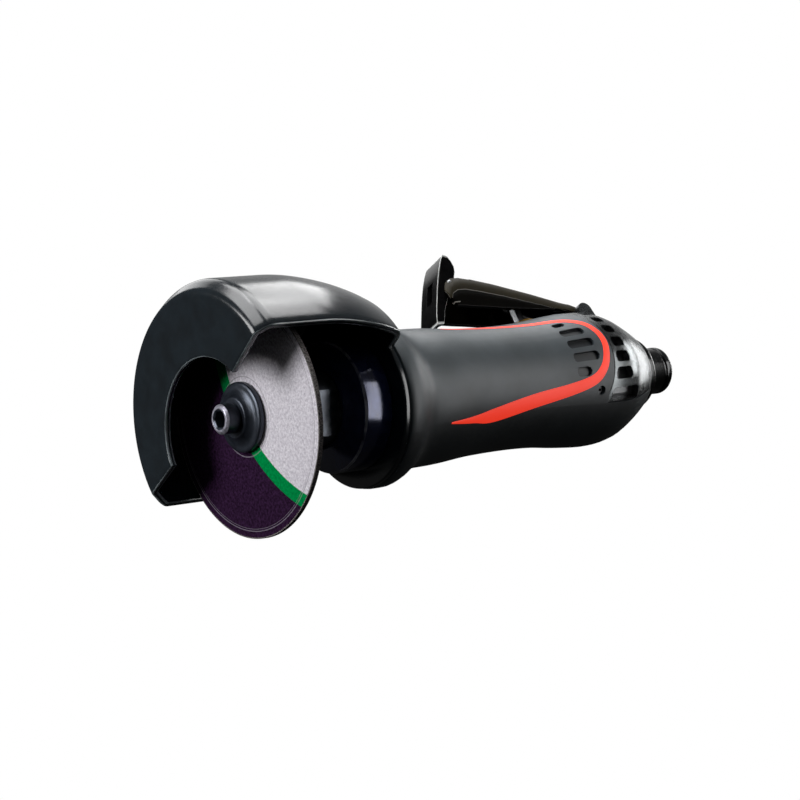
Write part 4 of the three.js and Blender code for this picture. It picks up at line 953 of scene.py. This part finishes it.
def make_ear(y_low, y_high):
    """A slab: an arc (x + r cos t, z + r sin t) over two feet, at both heights y, closed by fans."""
    turn = np.linspace(0, np.pi, 17)
    arc = np.array(LEVER_PIN) + EAR_RADIUS * np.stack([np.cos(turn), np.sin(turn)], -1)
    outline = np.vstack([arc, EAR_FEET])
    middle = np.broadcast_to(outline.mean(0), outline.shape)
    rings = np.stack([middle, outline, outline, middle])
    height = np.broadcast_to(np.array([y_low, y_low, y_high, y_high])[:, None], rings.shape[:2])
    return grid(np.stack([rings[..., 0], height, rings[..., 1]], -1), False, True)


cap_metal = plated("cap_metal", "494c4d", "5a5d5e", 0.27, 0.9, 0.0, "cap_alloy")
cap_shells = [make_cap_shell(), grid(turned(rounded(CORE), full_turn(96)))]
cap_shells += [make_ear(-EAR_OUT, -EAR_IN), make_ear(EAR_IN, EAR_OUT)]
piece("rear_cap_cast", cap_shells, "barrel", cap_metal, "rear_cap", bevel=0.35)

# %% [markdown]
# Air comes in at the rear through a turned bushing, which a lock ring holds in the cap. Both are
# blackened and polished. One profile could stand for both, but the seam between them shows, so each
# has its own. The bushing has a groove near its end, where a hose's clip takes hold.

# %% Air inlet
INLET = [[150.4, 3.4, 0.2], [150.4, 8.7, 0.3], [163, 8.7, 0.2], [163.3, 8.3, 0.1], [176.2, 8.3, 0.15],
         [176.3, 7.8, 0.1], [177.2, 7.8, 0.1], [177.3, 8.3, 0.15], [179.4, 8.3, 0.6], [181, 6.9, 0.5],
         [181, 5.4, 0.3], [157, 5.4, 0.2], [157, 3.4, 0.2]]
LOCK_RING = [[163.3, 8.6, 0.2], [163.3, 12.7, 0.5], [166.5, 12.7, 0.5], [169.3, 10.2, 0.4],
             [169.6, 9.9, 0.3], [169.6, 8.6, 0.2]]
inlet_black = plated("inlet_black", "0b0c0d", "17191b", 0.17, 0.4, 0.4, "black_steel")
lathe("inlet_bushing_turned", INLET, 96, "barrel", inlet_black, "inlet_bushing")
lathe("inlet_lock_ring_turned", LOCK_RING, 96, "barrel", inlet_black, "inlet_lock_ring")

# %% [markdown]
# The lever is pressed from sheet: an arched channel, open below, with an eye at its pin and a slot in
# front for the catch. A Solidify modifier could give it its wall, but one section carried along
# stations at two insets keeps the wall even where the back bends. It is painted black, olive on its
# back, with a painted highlight line along the bend and a short bright dash near its front.

# %% Throttle lever
LEVER_STATIONS = np.array([
    [94, 38.8, 32.5], [95.6, 41.6, 29.3], [98.5, 43.1, 29], [102, 43.1, 28.5], [106.5, 42.1, 28],
    [117.2, 39.1, 26.6], [132.4, 34, 25], [143.5, 29.9, 24.1], [146.6, 28.6, 22.2],
    [150.6, 26.6, 20.4], [151.7, 24.8, 20.8]])
LEVER_HALF, LEVER_WALL, NOTCH_HALF, NOTCH_END = 7.0, 1.5, 5.4, 108.0
NOTCH_COLUMNS = slice(6, 14)
MORE_STATIONS = [96.8, NOTCH_END, 112, 122, 127, 138, 149, 151.2]
EYE = [[-LEVER_HALF, 1.8, 0.1], [-LEVER_HALF, 2.6, 0.3], [LEVER_HALF, 2.6, 0.3], [LEVER_HALF, 1.8, 0.1]]
DASH_START, DASH_END, DASH_HEIGHT, DASH_HALF = 94.6, 97.2, 30.5, 0.22


def make_lever():
    """Section at angle t: straight cheeks, then y = h sin t, z = back - rise + (rise - inset) cos t."""
    x = np.unique(np.concatenate([LEVER_STATIONS[:, 0], MORE_STATIONS]))
    back, low = (np.interp(x, LEVER_STATIONS[:, 0], LEVER_STATIONS[:, k])[:, None] for k in (1, 2))
    notch = math.degrees(math.asin(NOTCH_HALF / LEVER_HALF))
    turns = [[-90, -84, -74, -62], np.linspace(-notch, notch, 9), [62, 74, 84, 90]]
    tilt = np.radians(np.concatenate(turns))[None, :]
    rise = np.interp(x, [94, 144, 147], [7, 7, 5])[:, None]

    def face(inset):
        """One face of the sheet, so many mm inside the outer one, as a [stations, section] grid."""
        half = LEVER_HALF - inset
        z = back - rise + (rise - inset) * np.cos(tilt)
        foot = z[:, :1] + (low - z[:, :1]) * np.array([1.0, 0.5])
        y = np.hstack([-half + 0 * foot, half * np.sin(tilt) + 0 * back, half + 0 * foot])
        z = np.hstack([foot, z, foot[:, ::-1]])
        return np.stack([np.broadcast_to(x[:, None], y.shape), y, z], -1)

    outer, inner = face(0.0), face(LEVER_WALL)
    keep = np.ones((outer.shape[0] - 1, outer.shape[1] - 1), bool)
    keep[x[:-1] < NOTCH_END, NOTCH_COLUMNS] = False
    on_back = np.zeros(outer.shape[:2])
    on_back[:, 2:-2] = 1.0
    return sheet(outer, inner, keep), np.concatenate([on_back.ravel(), 0 * on_back.ravel()])


def cross_turned(x, z, profile, columns=48):
    """A profile of [y, r] points carried round an axis parallel to Y: (x + r cos a, y, z + r sin a)."""
    turn = np.radians(full_turn(columns))
    y, r = profile[:, :1], profile[:, 1:]
    return grid(np.stack([x + r * np.cos(turn), y + 0 * turn, z + r * np.sin(turn)], -1))


lever_paint = painted("lever_paint", "050403", "090805", 0.3, 5, 0.8, {"Specular IOR Level": 0.1})
back = lever_paint.mark("back")
lever_paint.drive("Roughness", 0.18 + back * 0.3)
lever_paint.wear_and_painted_light(back.step(0.74, 0.76) * (lever_paint.noise(2.5, 3) * 0.5 + 0.6), "241e09")
# rim_line is a painted highlight along the bend between the back and the cheeks.
rim_line = back.step(0.66, 0.7) * (1 - back.step(0.74, 0.78))
dash_height = (lever_paint.axis("Z") / MM - DASH_HEIGHT).size() < DASH_HALF
dash = lever_paint.along().between(DASH_START, DASH_END) * dash_height
lever_paint.wear_and_painted_light((rim_line * 0.7).most(dash * 0.9), "8a8882")
lever_shell, lever_back = make_lever()
lever_eye = cross_turned(*LEVER_PIN, rounded(EYE))
piece("throttle_lever_pressed", [lever_shell, lever_eye], "lever", lever_paint, "throttle_lever",
      bevel=0.3, marks={"back": [lever_back, np.zeros(len(lever_eye[0]))]})

# %% [markdown]
# The catch stops the lever until a finger tilts it. It is bent from black sheet: a web in front with a
# slot in it and a cheek on each side. Three plates could stand for it, but a bent sheet has no seams,
# so one grid runs from cheek to cheek. Its bends are painted light, partly as worn metal and partly as
# a painted highlight, so the mesh marks them.

# %% Lock-off catch
LATCH_FRONT = [[85, 23.6], [86.3, 27], [88.2, 30.8], [91.9, 38], [95, 43.4], [97.7, 47.5], [100, 50.2]]
LATCH_REAR = [[88, 23.6], [91, 29], [96.2, 35.6], [99.7, 37.2], [100.4, 40.4], [102, 42.5],
              [103, 45.8], [101.8, 49.4]]
LATCH_HALF, LATCH_WALL, LATCH_ROWS = 5.1, 1.3, 15
WEB_LINES, CHEEK_SHARES = np.array([-4.6, -1.7, 0, 1.7, 4.6]), np.array([1.0, 0.92, 0.5, 0.12, 0.0])
SLOT_LOW, SLOT_HIGH, SLOT_COLUMNS = 33.6, 40.4, slice(6, 8)
BENDS = [0, 4, 10, -1]


def make_catch():
    """A web along the front line and a cheek on each side: at share s the cheek lies at
    front (1 - s) + rear s. The inner face starts a wall behind the front line."""
    front, rear = resample(LATCH_FRONT, LATCH_ROWS), resample(LATCH_REAR, LATCH_ROWS)
    normal = -normals_of(front)
    behind = front + normal * np.where(normal[:, :1] > 0, 1, -1) * LATCH_WALL
    reach = CHEEK_SHARES[None, :, None]

    def face(edge, half):
        """One face of the sheet from its front line and half width: left cheek, web, right cheek."""
        side = edge[:, None] * (1 - reach) + rear[:, None] * reach
        left = np.stack([side[..., 0], np.full(side.shape[:2], -half), side[..., 1]], -1)
        web = np.stack(np.broadcast_arrays(edge[:, :1], WEB_LINES * (half / LATCH_HALF), edge[:, 1:]), -1)
        return np.concatenate([left, web, left[:, ::-1] * np.array([1, -1, 1])], 1)

    outer, inner = face(front, LATCH_HALF), face(behind, LATCH_HALF - LATCH_WALL)
    keep = np.ones((LATCH_ROWS - 1, outer.shape[1] - 1), bool)
    middle = (front[:-1, 1] + front[1:, 1]) / 2
    keep[(middle > SLOT_LOW) & (middle < SLOT_HIGH), SLOT_COLUMNS] = False
    bend = np.zeros(outer.shape[:2])
    bend[:, BENDS] = 1.0
    bend[[0, -1]] = 1.0
    return sheet(outer, inner, keep), np.concatenate([bend.ravel(), 0 * bend.ravel()])


catch_black = painted("catch_black", "060607", "0d0d0e", 0.16, 3, 0.7,
                      {"Specular IOR Level": 0.06}, "black_steel")
# The bend mark lays a near-white shade: partly worn metal, partly a painted highlight along the bends.
worn_and_lit_bends = catch_black.mark("edge").step(0.5, 0.9)
catch_black.wear_and_painted_light(worn_and_lit_bends * (catch_black.noise(4, 3).step(0.3, 0.55) * 0.5 + 0.5), "e6e8e6")
catch_shell, catch_bend = make_catch()
piece("lock_off_catch_pressed", [catch_shell], "catch", catch_black, "lock_off_catch",
      bevel=0.35, marks={"edge": [catch_bend]})

# %% [markdown]
# The two turned pins have domed ends, so each is a small profile turned round an axis across the tool.
# The inner pieces could be built again too, but only glimpses of them show. They keep their packed
# shapes, with finishes of their own: ground steel, iron, alloy, brass, fibre, rubber and the screen's
# perforated sheet.

# %% Pins and inner pieces
CATCH_PIN = (97.4, 38.8)
LEVER_PIN_HALF = [[-9.4, AXIS], [-9.35, 0.8], [-9.1, 1.3], [-8.8, 1.5]]
CATCH_PIN_HALF = [[-6.3, AXIS], [-6.25, 0.55], [-6.0, 0.9], [-5.8, 1.0]]
PIN_COLUMNS = 32


def domed(half):
    """A pin's whole profile: one half's [y, r] points and their mirror image."""
    half = np.array(half)
    return np.vstack([half, half[::-1] * [-1, 1]])


steel = plated("steel", "6c6e70", "a2a4a6", 0.3, 0.95, 0.6)
lever_pin = cross_turned(*LEVER_PIN, domed(LEVER_PIN_HALF), PIN_COLUMNS)
piece("lever_pin_domed", [lever_pin], "barrel", steel, "lever_pin")
catch_pin = cross_turned(*CATCH_PIN, domed(CATCH_PIN_HALF), PIN_COLUMNS)
piece("catch_pin_domed", [catch_pin], "lever", steel, "catch_pin")

BEARINGS = [f"{end}_bearing_{part}" for end in ("front", "rear")
            for part in ("inner_ring", "outer_ring", "balls")]
INNER = [
    (steel, [*BEARINGS, "rotor", "plate_dowel", "wave_washer", "throttle_pin", "valve_spring",
             "catch_spring"]),
    (plated("cast_iron", "47484a", "66686a", 0.5, 0.8),
     ["motor_cylinder", "front_end_plate", "rear_end_plate"]),
    (plated("housing_alloy", "5b5d5f", "7b7d7f", 0.42, 0.85, 0.5), ["housing"]),
    (plated("brass", "8a6a30", "b8924c", 0.3, 0.95, 0.6),
     ["inlet_strainer", "valve_plug", "pin_bushing"]),
    (painted("fibre", "5a3d24", "76522f", 0.7, 3, 0.4), [f"vane_{k}" for k in range(1, 6)]),
    (painted("seal_rubber", "121314", "1d1e20", 0.75, 5, 0.4),
     ["front_seal", "rear_gasket", "valve_seat"]),
    (plated("screen_steel", "86888a", "b2b4b6", 0.5, 0.3), ["exhaust_screen"]),
    (plated("screw_black", "0f1012", "1d1f22", 0.3, 0.5, 0.3, "blackened_steel"), ["cap_lock_screw"]),
]
for finish, names in INNER:
    for name in names:
        kept = nodes[name]
        kept.data.materials.clear()
        kept.data.materials.append(finish.material)
print("kept nodes:", sum(len(names) for _, names in INNER))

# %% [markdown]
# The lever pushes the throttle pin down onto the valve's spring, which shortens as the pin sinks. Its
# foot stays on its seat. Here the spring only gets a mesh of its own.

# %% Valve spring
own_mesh(nodes["valve_spring"])
